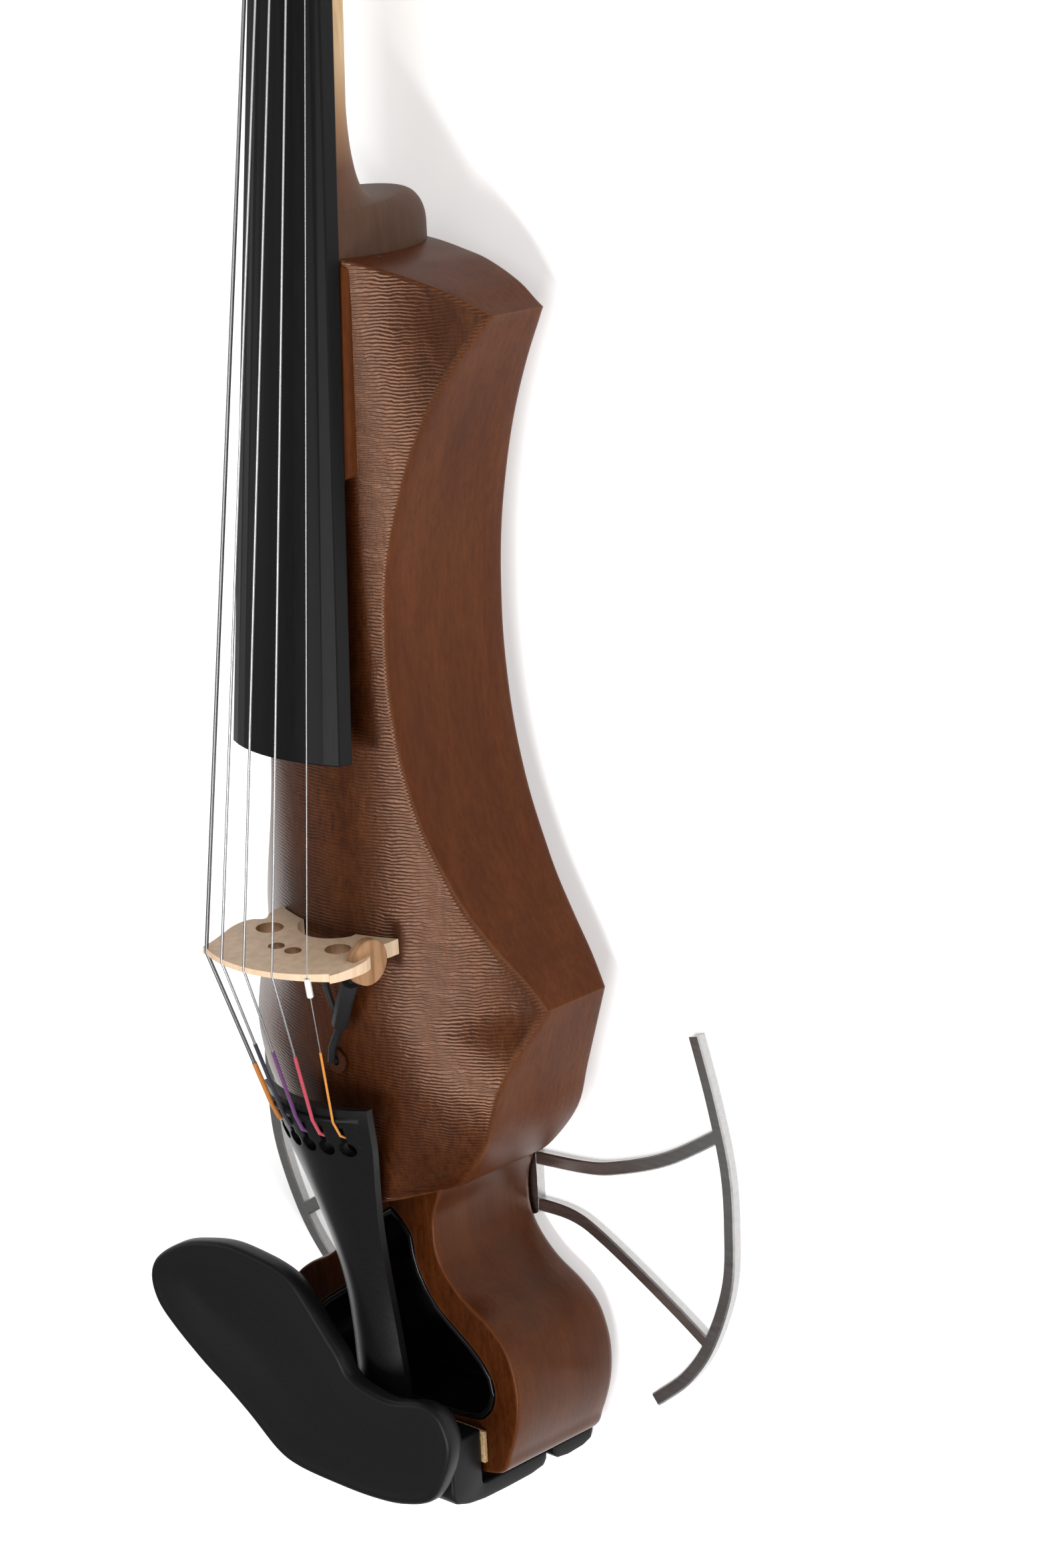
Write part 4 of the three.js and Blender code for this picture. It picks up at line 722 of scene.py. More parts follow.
def body_rows():
    rows, marks = [], []
    back = [body_column(i, -BODY_BACK) for i in range(body_count)]
    back_steps = [(1.6, 0, 0), (1.0, 0.12, 0.25), (0.45, 0.45, 0.5), (0.12, 1.0, 0.2), (0, 1.6, 0)]
    for inset, rise, mark in back_steps:
        ring = inset_ring(back, inset)
        rows.append([place(x, y, rise - BODY_BACK) for x, y in ring])
        marks.append(mark)
    steps = 9
    for step in range(1, steps + 1):
        row = []
        for i in range(body_count):
            level = mix(1.6 - BODY_BACK, edge_spots[i][2] - 0.75, step / steps)
            row.append(place(*body_column(i, level), level))
        rows.append(row)
        marks.append(0)
    for inset, fall, mark in ((0.06, 0.42, 0.55), (0.28, 0.12, 1.0), (0.62, 0.0, 0.55)):
        ring = inset_ring(edge_spots, inset)
        row = []
        for (x, y), spot in zip(ring, edge_spots):
            level = spot[2] - fall if fall else belly_at(x, y)
            row.append(place(x, y, level))
        rows.append(row)
        marks.append(mark)
    inner = inset_ring(edge_spots, 0.62)
    for t in (0.025, 0.06, 0.11, 0.17, 0.24, 0.32, 0.41, 0.51, 0.62, 0.73, 0.83, 0.91, 0.96, 0.985, 0.996):
        row = []
        for x, y in inner:
            target = min(max(y, -66), 184)
            at_x, at_y = mix(x, 0, t), mix(y, target, t)
            row.append(place(at_x, at_y, belly_at(at_x, at_y)))
        rows.append(row)
        marks.append(0)
    return rows, marks


body_mesh = bmesh.new()
rows, marks = body_rows()
first_edges, last_edges = plank(body_mesh, rows, marks)
edge_layer = body_mesh.verts.layers.float["edge"]
# the wall's corner columns are marked too: a painted highlight down each corner, with stain worn by rubbing
WALL_FIRST, WALL_LAST = 4, 15
for number, vert in enumerate(body_mesh.verts):
    row_number, column = divmod(number, body_count)
    if column in corner_columns and WALL_FIRST <= row_number <= WALL_LAST:
        vert[edge_layer] = max(vert[edge_layer], 0.8)
close_ring(body_mesh, first_edges)
close_ring(body_mesh, last_edges)
body_main = finish_piece("body_main", body_mesh, BELLY_WOOD, "violin", ["body"], crisp=28)
# walls and back take a copy of the stain darkened by a different factor from the belly's: painted light and
# shade
body_main.data.materials.append(SIDE_WOOD)
for face in body_main.data.polygons:
    tilt = face.normal.z
    is_wall = -0.35 < tilt < 0.2
    is_back = tilt < -0.5
    face.material_index = 1 if is_wall or is_back else 0

# %% [markdown]
# The battery bay and the seat of its door are milled into the back. They are cut with
# Boolean boxes, as a router would, once the block has its shape.

# %% The battery bay
BAY_HALF = 14.85
BAY_TAIL, BAY_END = 6, 60.7
DOOR_HALF = 17.05
HINGE_LINE = 63.0
BAY_DEPTH, DOOR_DEPTH = -31.5, -50.6
DOOR_GAP = 0.3
below = -BODY_BACK - 4
seat_half = DOOR_HALF + DOOR_GAP
carve(body_main, box_mesh(-BAY_HALF, BAY_HALF, BAY_TAIL, BAY_END, below, BAY_DEPTH))
carve(body_main, box_mesh(-seat_half, seat_half, 3.5, HINGE_LINE, below, DOOR_DEPTH))
carve(body_main, box_mesh(-seat_half, seat_half, HINGE_LINE - 2.6, HINGE_LINE + 2.6, below, -48.1))
carve(body_main, box_mesh(-5, 5, -1.2, 6.5, below, DOOR_DEPTH))
print("body after carving", len(body_main.data.polygons))

# %% [markdown]
# Under the fingerboard stands a low platform. It is a plain bar whose top follows the sloping
# underside of the fingerboard, with its long edges marked lighter like the rest, for stain worn thin by
# rubbing and as a painted highlight.

# %% The platform
def board_plane(y):
    return (325 - y) * 0.0902 - 16


platform_mesh = box_mesh(-22.8, 18.5, 137, 197, -20, 0)
for vert in platform_mesh.verts:
    spot = (vert.co - BRIDGE_FOOT) / MM
    if spot.z > -10:
        vert.co.z = BRIDGE_FOOT.z + (board_plane(spot.y) - 0.35) * MM
platform_edge = platform_mesh.verts.layers.float.new("edge")
bevel_edges(platform_mesh, upright_edges(platform_mesh, 0.004), 2.2, 5)
sharp = [e for e in platform_mesh.edges if len(e.link_faces) == 2 and e.calc_face_angle() > 0.9]
made = bevel_edges(platform_mesh, sharp, 0.5, 2)
for vert in made["verts"]:
    vert[platform_edge] = 0.12
finish_piece("platform", platform_mesh, SIDE_WOOD, "violin", ["body"])

# %% [markdown]
# The tail is a separate form: a broad leaf with a pear-shaped well in its front. Two
# stacks of rings make its outer wall and the wall of the well, and flat faces join them.

# %% The tail
TAIL_END, TAIL_LENGTH, TAIL_HALF = -169, 109, 48
TAIL_FRONT, TAIL_BACK = -15.5, -58
COVER_TOP = -51.4
tail_shares = [
    (0.625, 0.99), (0.5, 0.89), (0.435, 0.807), (0.378, 0.743), (0.365, 0.688),
    (0.381, 0.627), (0.452, 0.572), (0.583, 0.518), (0.771, 0.47), (0.904, 0.418),
    (0.975, 0.349), (1, 0.275), (0.979, 0.188), (0.906, 0.096), (0.808, 0.032), (0.417, 0.009), (0, 0),
]
pocket_shares = [
    (0, 0.722), (0.07, 0.703), (0.165, 0.654), (0.19, 0.584), (0.26, 0.522), (0.352, 0.47), (0.485, 0.427),
    (0.64, 0.378), (0.752, 0.329), (0.802, 0.28), (0.783, 0.2275), (0.706, 0.186), (0.623, 0.17),
    (0.396, 0.162), (0, 0.16),
]


def mirrored_outline(shares, count):
    spots = [(x * TAIL_HALF, TAIL_END + y * TAIL_LENGTH) for x, y in shares]
    side = even_points(curve_through(spots, 12), count)
    other = [(-x, y) for x, y in side[:-1][::-1] if abs(x) > 0.01]
    return side + other


tail_outline = mirrored_outline(tail_shares, 130)
pocket_outline = mirrored_outline(pocket_shares, 110)


def tail_back_at(y):
    t = min(max((y + 72) / 12, 0), 1)
    return TAIL_BACK + 5 * t * t * (3 - 2 * t)


def tail_row(outline, out, level):
    row = []
    for x, y in moved_out(outline, out):
        row.append(place(x, y, level if level is not None else tail_back_at(y)))
    return row


def tail_wall_row(out, rise):
    return [place(x, y, tail_back_at(y) + rise) for x, y in moved_out(tail_outline, out)]


tail_mesh = bmesh.new()
tail_rows = [tail_wall_row(out, rise) for out, rise in
             ((-3.2, 0), (-1.9, 0.35), (-0.9, 1.0), (-0.3, 1.9), (0, 3.2), (0, 8), (0, 15), (0, 24), (0, 33))]
# the marks here and in the well paint the tail's rounded edges lighter: stain worn by rubbing and a painted
# highlight
tail_marks = [0, 0.1, 0.25, 0.1, 0, 0, 0, 0, 0]
for out, level, mark in ((0, -16.5, 0), (-0.1, -16.0, 0.5), (-0.38, -15.62, 0.9), (-0.8, TAIL_FRONT, 0.4),
                         (-1.3, TAIL_FRONT, 0)):
    tail_rows.append(tail_row(tail_outline, out, level))
    tail_marks.append(mark)
outer_back, outer_front = plank(tail_mesh, tail_rows, tail_marks)
well_rows, well_marks = [], []
for out, level, mark in ((1.2, TAIL_FRONT, 0), (0.7, TAIL_FRONT, 0.4), (0.3, -15.6, 0.8), (0.08, -15.9, 0.4),
                         (0, -16.3, 0), (0, COVER_TOP, 0),
                         (4.5, COVER_TOP, 0), (4.5, TAIL_BACK + 0.4, 0.2), (4.9, TAIL_BACK, 0.3)):
    well_rows.append(tail_row(pocket_outline, out, level))
    well_marks.append(mark)
well_front, well_back = plank(tail_mesh, well_rows, well_marks)
close_ring(tail_mesh, outer_front + well_front)
close_ring(tail_mesh, outer_back + well_back)
tail = finish_piece("tail", tail_mesh, TAIL_WOOD, "violin", ["body"], crisp=40)
# faces that face forward, the front rim and the well's floor, take a darker copy of the stain: painted shade
tail.data.materials.append(SHADED_RIM_WOOD)
for face in tail.data.polygons:
    face.material_index = 1 if face.normal.z > 0.75 else 0

# %% [markdown]
# Each socket sits in a round flat seat in the bass wall of the tail, cut with a drum whose axis runs
# across the body.

# %% The socket seats
for socket in ("jack_socket", "headphone_socket"):
    low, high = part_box(socket)
    radius = (high.y - low.y) / 2 + 0.3 * MM
    seat = bmesh.new()
    bmesh.ops.create_cone(seat, cap_ends=True, segments=48, radius1=radius, radius2=radius, depth=9.3 * MM)
    bmesh.ops.rotate(seat, cent=(0, 0, 0), matrix=Matrix.Rotation(math.pi / 2, 3, "Y"), verts=seat.verts)
    middle = Vector((low.x - 3.15 * MM, (low.y + high.y) / 2, (low.z + high.z) / 2))
    bmesh.ops.translate(seat, vec=middle, verts=seat.verts)
    carve(tail, seat)
    softened(socket, STEEL, width=0.25)
print("tail faces", len(tail.data.polygons))


# %% [markdown]
# The neck is planked from U-shaped sections under the fingerboard. Near the body the sections
# deepen in a long sweep and then turn down over the heel, where the player's thumb stops. A row
# of sections was chosen over a cut block, because the sweep then stays smooth without any cuts.

# %% The neck and heel
NUT_LINE = 325
BOARD_REACH = 268.5
HEEL_FACE = BODY_END + 10
HEEL_RUN, HEEL_KNEE = 28, 11
HEEL_BACK, HEEL_HALF = 52.5, 16


def board_half_at(y):
    return mix(21.57, 12.2, (y - NUT_LINE + BOARD_REACH) / BOARD_REACH)


def neck_depth_at(y):
    return 10.3 - 1.5 * (y - NUT_LINE) / 116


SECTION_POWER = 0.9


def neck_section(y, half, depth):
    row = []
    for i in range(29):
        angle = math.pi * i / 28
        level = board_plane(y) + (depth - board_plane(y)) * math.sin(angle) ** SECTION_POWER
        row.append(place(half * math.cos(angle), y, level))
    return row


neck_rows = []
for y in even_points([(331.0, 0), (HEEL_FACE + HEEL_RUN, 0)], 14):
    neck_rows.append(neck_section(y[0], board_half_at(y[0]) - 0.6, board_plane(y[0]) - neck_depth_at(y[0])))
neck_level = board_plane(HEEL_FACE + HEEL_RUN) - neck_depth_at(HEEL_FACE + HEEL_RUN)
heel_path = []
for i in range(1, 19):
    turn = math.pi / 2 * i / 18
    run = HEEL_RUN * (1 - math.sin(turn))
    heel_path.append((HEEL_FACE + run, neck_level - HEEL_KNEE * (1 - math.cos(turn))))
for i in range(0, 19):
    turn = math.pi / 2 * i / 18
    run = HEEL_KNEE * (1 - math.cos(turn))
    heel_path.append((HEEL_FACE - run - 0.3, -HEEL_BACK + HEEL_KNEE * (1 - math.sin(turn))))
heel_path.append((BODY_END - 9, -HEEL_BACK))
for y, depth in heel_path:
    share = (neck_level - depth) / (neck_level + HEEL_BACK)
    half = mix(board_half_at(y) - 0.6, HEEL_HALF, share)
    neck_rows.append(neck_section(y, half, depth))
neck_mesh = bmesh.new()
plank_closed(neck_mesh, neck_rows)
finish_piece("neck_and_heel", neck_mesh, NECK_MAPLE, "violin", ["neck"], crisp=50)

# %% [markdown]
# The pegbox holds the pegs and ends in the scroll. The photograph doesn't show it, so its shape is
# a guess from common violins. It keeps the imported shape: its copy is cut off with a plane just
# above the nut, which is quicker than modelling it anew where no detail is known.

# %% The pegbox
pegbox_mesh = bmesh.new()
pegbox_mesh.from_mesh(frame["nodes"]["neck"].data)
bmesh.ops.remove_doubles(pegbox_mesh, verts=pegbox_mesh.verts, dist=2e-6)
cut_spot = place(0, NUT_LINE + 0.4, -16)
whole = pegbox_mesh.verts[:] + pegbox_mesh.edges[:] + pegbox_mesh.faces[:]
parted = bmesh.ops.bisect_plane(pegbox_mesh, geom=whole, plane_co=cut_spot, plane_no=(0, 1, 0),
                                clear_inner=True)
rim = [item for item in parted["geom_cut"] if isinstance(item, bmesh.types.BMEdge)]
bmesh.ops.triangle_fill(pegbox_mesh, use_beauty=True, edges=rim)
bmesh.ops.dissolve_limit(pegbox_mesh, angle_limit=math.radians(1.5), verts=pegbox_mesh.verts,
                         edges=pegbox_mesh.edges)
pegbox = finish_piece("pegbox_and_scroll", pegbox_mesh, NECK_MAPLE, "violin", ["neck"],
                      crisp=32, tidy=False)
add_bevel(pegbox, 0.7, 3)

# %% [markdown]
# Strings are thin tubes along their path: peg, nut, bridge, the ridge of the tailpiece and the
# keyhole. A curve with a bevel would also give a tube, but rings of points allow closed ends and
# a known number of faces. The turns of string around the pegs are left out.

# %% Tubes
TUBE_SIDES = 12


def tube_rows(points, radius):
    side = Vector((1, 0, 0))
    rows = []
    for i, point in enumerate(points):
        before, after = points[max(i - 1, 0)], points[min(i + 1, len(points) - 1)]
        along = (point - before).normalized() + (after - point).normalized()
        along.normalize()
        side = (side - along * side.dot(along)).normalized()
        other = along.cross(side)
        row = []
        for k in range(TUBE_SIDES):
            angle = 2 * math.pi * k / TUBE_SIDES
            row.append(point + (side * math.cos(angle) + other * math.sin(angle)) * radius * MM)
        rows.append(row)
    return rows


def add_tube(bm, points, radius):
    plank_closed(bm, tube_rows(points, radius))


# %% [markdown]
# The five strings are spaced by rank, from C at the bass side to E at the treble side. Near the
# tailpiece each is wound with coloured silk, which tells the player which string it is.

# %% Where the strings run
TAILPIECE_TOP, TAILPIECE_END = -46, -156
TAILPIECE_HALF, TAILPIECE_HEIGHT, TAILPIECE_ARCH = 21, 11.5, 7.4
tailpiece_shares = [
    (1, 1), (0.905, 0.722), (0.733, 0.417), (0.586, 0.13), (0.486, -0.157),
    (0.445, -0.391), (0.455, -0.539), (0.471, -0.643), (0.405, -0.73),
]
tailpiece_curve = curve_through(tailpiece_shares, 10)
STRING_RADII = {"c": 0.58, "g": 0.42, "d": 0.39, "a": 0.34, "e": 0.16}
SILKS = {"c": (0.62, 0.20, 0.012), "g": (0.010, 0.011, 0.030), "d": (0.135, 0.022, 0.16),
         "a": (0.62, 0.045, 0.085), "e": (0.82, 0.30, 0.015)}
SILK_STARTS = {"c": 0.73, "g": 0.55, "d": 0.56, "a": 0.56, "e": 0.51}
BOARD_RADIUS = 42
KEY_LINE = -59.8
RIDGE_LINE = -49.6


def along_tailpiece(y, column):
    spot = (TAILPIECE_TOP - y) / (TAILPIECE_TOP - TAILPIECE_END) * (len(tailpiece_curve) - 1)
    k = int(min(max(spot, 0), len(tailpiece_curve) - 1.001))
    return mix(tailpiece_curve[k][column], tailpiece_curve[k + 1][column], spot - k)


def tailpiece_top_at(x, y):
    half = TAILPIECE_HALF * along_tailpiece(y, 0)
    hump = 1 - min(abs(x) / half, 1) ** 2
    return TAILPIECE_HEIGHT * along_tailpiece(y, 1) + TAILPIECE_ARCH * along_tailpiece(y, 0) * hump


def tailpiece_bottom_at(x, y):
    half = TAILPIECE_HALF * along_tailpiece(y, 0)
    hump = 1 - min(abs(x) / half, 1) ** 2
    return tailpiece_top_at(x, y) - mix(2.3, 4.2, hump)


def bridge_top_at(x):
    return 35.4 - 0.04 * x - (BOARD_RADIUS - math.sqrt(BOARD_RADIUS ** 2 - x ** 2))


def neck_place(x, y, z):
    return place(x, NUT_LINE + 0.99596 * y + 0.08984 * z, -16 - 0.08984 * y + 0.99596 * z)


nut_crown = 5.2 + BOARD_RADIUS - math.sqrt(BOARD_RADIUS ** 2 - 12.2 ** 2) + 0.7


STRING_NAMES = "cgdae"
PEG_NAMES = "cegad"
NUT_SPACING, BRIDGE_SPACING, RIDGE_SPACING = 4.99, 9.87, 6.3


def string_spots(name):
    rank = STRING_NAMES.index(name) - 2
    nut_x = rank * NUT_SPACING
    bridge_x = rank * BRIDGE_SPACING
    nut_z = nut_crown - (BOARD_RADIUS - math.sqrt(BOARD_RADIUS ** 2 - nut_x ** 2))
    ridge_x = rank * RIDGE_SPACING
    peg_line = 18 + 12 * PEG_NAMES.index(name)
    key_z = (tailpiece_top_at(ridge_x, KEY_LINE) + tailpiece_bottom_at(ridge_x, KEY_LINE)) / 2
    return [
        neck_place(nut_x / 2, peg_line, 3.9 + 0.3 + STRING_RADII[name] - 7.5),
        neck_place(nut_x, 5.5, nut_z), neck_place(nut_x, 0, nut_z),
        place(bridge_x, 0, bridge_top_at(bridge_x)),
        place(ridge_x, RIDGE_LINE, tailpiece_top_at(ridge_x, RIDGE_LINE) + 1.5),
        place(ridge_x, KEY_LINE, key_z),
    ]


for name in STRING_NAMES:
    peg, nut_back, nut_front, bridge_spot, ridge, key = string_spots(name)
    start = bridge_spot.lerp(ridge, SILK_STARTS[name])
    bare = bmesh.new()
    add_tube(bare, [peg, nut_back, nut_front, bridge_spot, start], STRING_RADII[name])
    winding = DARK_STRING if name == "c" else BRIGHT_STRING
    finish_piece("string_" + name + "_wire", bare, winding, "violin", ["string_" + name])
    wound = bmesh.new()
    key_x = (key.x - BRIDGE_FOOT.x) / MM
    start_line, dip_line = KEY_LINE + 5.2, KEY_LINE + 3.4
    slot_start = place(key_x, start_line, tailpiece_top_at(key_x, start_line) + 0.5)
    slot_dip = place(key_x, dip_line, tailpiece_top_at(key_x, dip_line) - 2.0)
    add_tube(wound, [start, ridge, slot_start, slot_dip], STRING_RADII[name] * 0.9 + 0.22)
    thread = silk("silk " + name, SILKS[name])
    finish_piece("string_" + name + "_silk", wound, thread, "violin", ["string_" + name])

# %% [markdown]
# The bridge is thin maple, cut from a flat outline and pierced. A filled outline is extruded to its
# thickness, thinned towards the top, and all its edges take a small bevel.

# %% The bridge
BRIDGE_HEIGHT = 35.4
bridge_treble_shares = [
    (0.664, 0.02), (0.645, 0.10), (0.60, 0.16), (0.61, 0.21), (0.67, 0.245), (0.74, 0.31),
    (0.775, 0.4), (0.785, 0.5), (0.78, 0.6), (0.765, 0.69), (0.74, 0.765),
]
bridge_bass_shares = [
    (-0.6, 0.885), (-0.615, 0.80), (-0.64, 0.69), (-0.675, 0.57),
    (-0.71, 0.45), (-0.715, 0.34), (-0.68, 0.25), (-0.615, 0.205), (-0.60, 0.16), (-0.64, 0.10),
    (-0.664, 0.02),
]
leg_arch_shares = [
    (-0.3, 0.08), (-0.25, 0.15), (-0.14, 0.23), (0, 0.26), (0.14, 0.23), (0.25, 0.15), (0.3, 0.08),
]
bridge_holes = [(-0.42, 0.30, 0.12), (0.40, 0.33, 0.115), (-0.09, 0.545, 0.073), (0.10, 0.545, 0.075)]


def foot_line(start, end):
    # the feet follow the arched belly, a hair above it
    spots = []
    for i in range(7):
        x = mix(start, end, i / 6)
        spots.append((x / BRIDGE_HEIGHT, (belly_at(x, 0) + 0.15) / BRIDGE_HEIGHT))
    return spots


bridge_outline = foot_line(0.3 * BRIDGE_HEIGHT, 0.664 * BRIDGE_HEIGHT)
bridge_outline += curve_through(bridge_treble_shares, 6)
crown_start, crown_end = bridge_treble_shares[-1][0], bridge_bass_shares[0][0]
for i in range(1, 40):
    x = mix(crown_start, crown_end, i / 40)
    bridge_outline.append((x, bridge_top_at(x * BRIDGE_HEIGHT) / BRIDGE_HEIGHT))
bridge_outline += curve_through(bridge_bass_shares, 6)
bridge_outline += foot_line(-0.664 * BRIDGE_HEIGHT, -0.3 * BRIDGE_HEIGHT)
bridge_outline += curve_through(leg_arch_shares, 6)


def bridge_spot_at(x, z):
    return place(x * BRIDGE_HEIGHT, 0, z * BRIDGE_HEIGHT)


def ring_mesh(bm, spots):
    return find_ring_edges(start_ring(bm, spots))


bridge_mesh = bmesh.new()
loops = ring_mesh(bridge_mesh, [bridge_spot_at(x, z) for x, z in bridge_outline])
for x, z, radius in bridge_holes:
    circle = []
    for i in range(28):
        angle = 2 * math.pi * i / 28
        circle.append(bridge_spot_at(x + radius * math.cos(angle), z + radius * math.sin(angle) * 0.9))
    loops += ring_mesh(bridge_mesh, circle)
close_ring(bridge_mesh, loops)
front_faces = bridge_mesh.faces[:]
grown = bmesh.ops.extrude_face_region(bridge_mesh, geom=front_faces)["geom"]
back_verts = {item for item in grown if isinstance(item, bmesh.types.BMVert)}
for vert in bridge_mesh.verts:
    rise = min(max((vert.co.z - BRIDGE_FOOT.z) / (BRIDGE_HEIGHT * MM), 0), 1)
    toward_tail, toward_neck = mix(-1.93, -0.85, rise), mix(2.67, 0.85, rise)
    vert.co.y = BRIDGE_FOOT.y + (toward_tail if vert in back_verts else toward_neck) * MM
bmesh.ops.recalc_face_normals(bridge_mesh, faces=bridge_mesh.faces)
bmesh.ops.dissolve_limit(bridge_mesh, angle_limit=math.radians(0.6), verts=bridge_mesh.verts,
                         edges=bridge_mesh.edges, delimit={"NORMAL"})
bridge = finish_piece("bridge_cut", bridge_mesh, BRIDGE_MAPLE, "violin", ["bridge"], crisp=40)
bridge.data.materials.append(HOLE_SHADE_MAPLE)
# the inner walls of the holes take the darker maple: painted shade inside the holes
for face in bridge.data.polygons:
    spot = (face.center - BRIDGE_FOOT) / (BRIDGE_HEIGHT * MM)
    inside = [x for x, z, radius in bridge_holes if math.hypot(spot.x - x, spot.z - z) < radius + 0.01]
    if inside and abs(face.normal.y) < 0.5:
        face.material_index = 1
add_bevel(bridge, 0.35, 2, angle=50)

# %% [markdown]
# The tailpiece is a long arched shell. Its sections are closed rings, planked from the wide end
# to the narrow one, and the keyholes are cut through it afterwards.

# %% The tailpiece
tailpiece_mesh = bmesh.new()
tailpiece_rows = []
for step in range(61):
    y = mix(TAILPIECE_TOP, TAILPIECE_END, step / 60)
    half = TAILPIECE_HALF * along_tailpiece(y, 0)
    top, bottom = [], []
    for i in range(25):
        x = mix(-half, half, i / 24)
        top.append(place(x, y, tailpiece_top_at(x, y)))
        bottom.append(place(x, y, tailpiece_bottom_at(x, y)))
    tailpiece_rows.append(top + bottom[::-1])
plank_closed(tailpiece_mesh, tailpiece_rows)
tailpiece = finish_piece("tailpiece_shell", tailpiece_mesh, TAILPIECE_BLACK, "violin",
                         ["tailpiece"], crisp=40)


def drum(x, y, z0, z1, radius):
    bm = bmesh.new()
    bmesh.ops.create_cone(bm, cap_ends=True, segments=32, radius1=radius * MM, radius2=radius * MM,
                          depth=(z1 - z0) * MM)
    bmesh.ops.translate(bm, vec=place(x, y, (z0 + z1) / 2), verts=bm.verts)
    return bm


for rank in range(-2, 3):
    key_x = rank * RIDGE_SPACING
    carve(tailpiece, drum(key_x, KEY_LINE, -4, 35, 2.5))
    carve(tailpiece, box_mesh(key_x - 0.9, key_x + 0.9, KEY_LINE, RIDGE_LINE - 2.6, -4, 35))
add_bevel(tailpiece, 0.35, 2, angle=40)

# the fret that the strings cross is a thin curved bar
fret_mesh = bmesh.new()
fret_rows = []
for i in range(33):
    x = mix(-18.4, 18.4, i / 32)
    lift = 1.25 * min(1, 4 * min(i, 32 - i) / 32 + 0.15)
    low, high = 0.45 * lift, 0.85 * lift
    profile = [(-1.0, -0.6), (-1.0, low), (-0.6, high), (0, lift), (0.6, high), (1.0, low), (1.0, -0.6)]
    ridge_level = tailpiece_top_at(x, RIDGE_LINE)
    fret_rows.append([place(x, RIDGE_LINE + y, ridge_level + z) for y, z in profile])
plank_closed(fret_mesh, fret_rows)
finish_piece("fret", fret_mesh, EBONY, "violin", ["tailpiece_fret"], crisp=50)

# %% [markdown]
# The chinrest is moulded in one: a rolled rim round a shallow bowl. Its rings go up the
# outer wall, over the rim and down into the bowl, and shrink towards a bent middle line.

# %% The chinrest
CHIN_LENGTH, CHIN_WIDTH, CHIN_LEFT, CHIN_TAIL = 126, 68, -83.5, -174
CHIN_TOP, CHIN_BOTTOM = 8, -0.5
chin_shares = [
    (0.004, 0.713), (0.032, 0.816), (0.117, 0.919), (0.198, 0.969), (0.288, 0.996), (0.386, 0.985),
    (0.455, 0.963), (0.505, 0.919), (0.553, 0.831), (0.602, 0.728), (0.645, 0.64), (0.675, 0.559),
    (0.735, 0.522), (0.81, 0.512), (0.907, 0.551), (0.962, 0.528), (0.99, 0.454), (0.996, 0.36),
    (0.972, 0.232), (0.923, 0.0985), (0.829, 0.031), (0.725, 0.007), (0.603, 0.007), (0.481, 0.022),
    (0.41, 0.066), (0.325, 0.184), (0.246, 0.282), (0.168, 0.369), (0.073, 0.496), (0.02, 0.596),
]
chin_spots = [(CHIN_LEFT + x * CHIN_LENGTH, CHIN_TAIL + y * CHIN_WIDTH) for x, y in chin_shares]
chin_outline = even_points(curve_through(chin_spots, 10, closed=True), 220, closed=True)
spine_spots = [(-58, -124), (-38, -132), (-14, -147), (10, -156), (27, -156)]
chin_spine = even_points(curve_through(spine_spots, 10), 60)


def chin_row(out, level):
    return [place(x, y, level) for x, y in moved_out(chin_outline, out)]


chin_mesh = bmesh.new()
wall_steps = [
    (-6.0, CHIN_BOTTOM), (-4.0, CHIN_BOTTOM + 0.3), (-2.0, CHIN_BOTTOM + 1.3), (-0.7, CHIN_BOTTOM + 2.8),
    (0, CHIN_BOTTOM + 4.8),
]
rim_steps = [
    (0, CHIN_TOP - 1.6), (-0.18, CHIN_TOP - 0.85), (-0.6, CHIN_TOP - 0.3), (-1.2, CHIN_TOP - 0.02),
    (-1.9, CHIN_TOP), (-2.4, CHIN_TOP - 0.06), (-3.0, CHIN_TOP - 0.25), (-3.8, CHIN_TOP - 0.42),
    (-5.2, CHIN_TOP - 0.6),
]
chin_rows = [chin_row(out, level) for out, level in wall_steps + rim_steps]
inner = moved_out(chin_outline, -5.2)
nearest = [min(chin_spine, key=lambda spot: math.dist(spot, point)) for point in inner]
for t in (0.08, 0.17, 0.27, 0.38, 0.5, 0.62, 0.74, 0.85, 0.94):
    row = []
    for point, goal in zip(inner, nearest):
        x, y = mix(point[0], goal[0], t), mix(point[1], goal[1], t)
        dip = 3.2 * math.exp(-((((x + 43) / 34) ** 2 + ((y + 131) / 22) ** 2)) * 0.9) * min(t * 1.8, 1)
        row.append(place(x, y, CHIN_TOP - 0.6 - 0.5 * min(t * 2, 1) - dip))
    chin_rows.append(row)
plank_closed(chin_mesh, chin_rows)
finish_piece("chinrest", chin_mesh, CHINREST_BLACK, "violin", ["chinrest_plate"], crisp=50)

# %% [markdown]
# Two clamps hold the chinrest. Each has a jaw over the front of the tail and a hook behind it, with
# undercut, well-rounded outsides. Their side outlines are planked across the width, and the
# outermost rings are drawn in, so that every edge is round.

# %% The chinrest clamps
jaw_profile = [
    (-152.0, -13.6), (-169.3, -13.6), (-169.3, -41.0), (-171.6, -41.0), (-173.6, -39.6), (-174.5, -34),
    (-174.7, -24), (-174.6, -14), (-173.8, -7.5), (-172.2, -2.6), (-169.5, -0.8), (-153.4, -0.8),
    (-152.2, -2.4),
]
hook_profile = [
    (-169.3, -44.0), (-169.3, -59.3), (-160.4, -59.3), (-159.8, -60.2), (-160.6, -61.1), (-170.0, -61.2),
    (-172.4, -60.2), (-173.6, -56.5), (-174.0, -50.0), (-173.4, -45.4), (-171.8, -44.0),
]


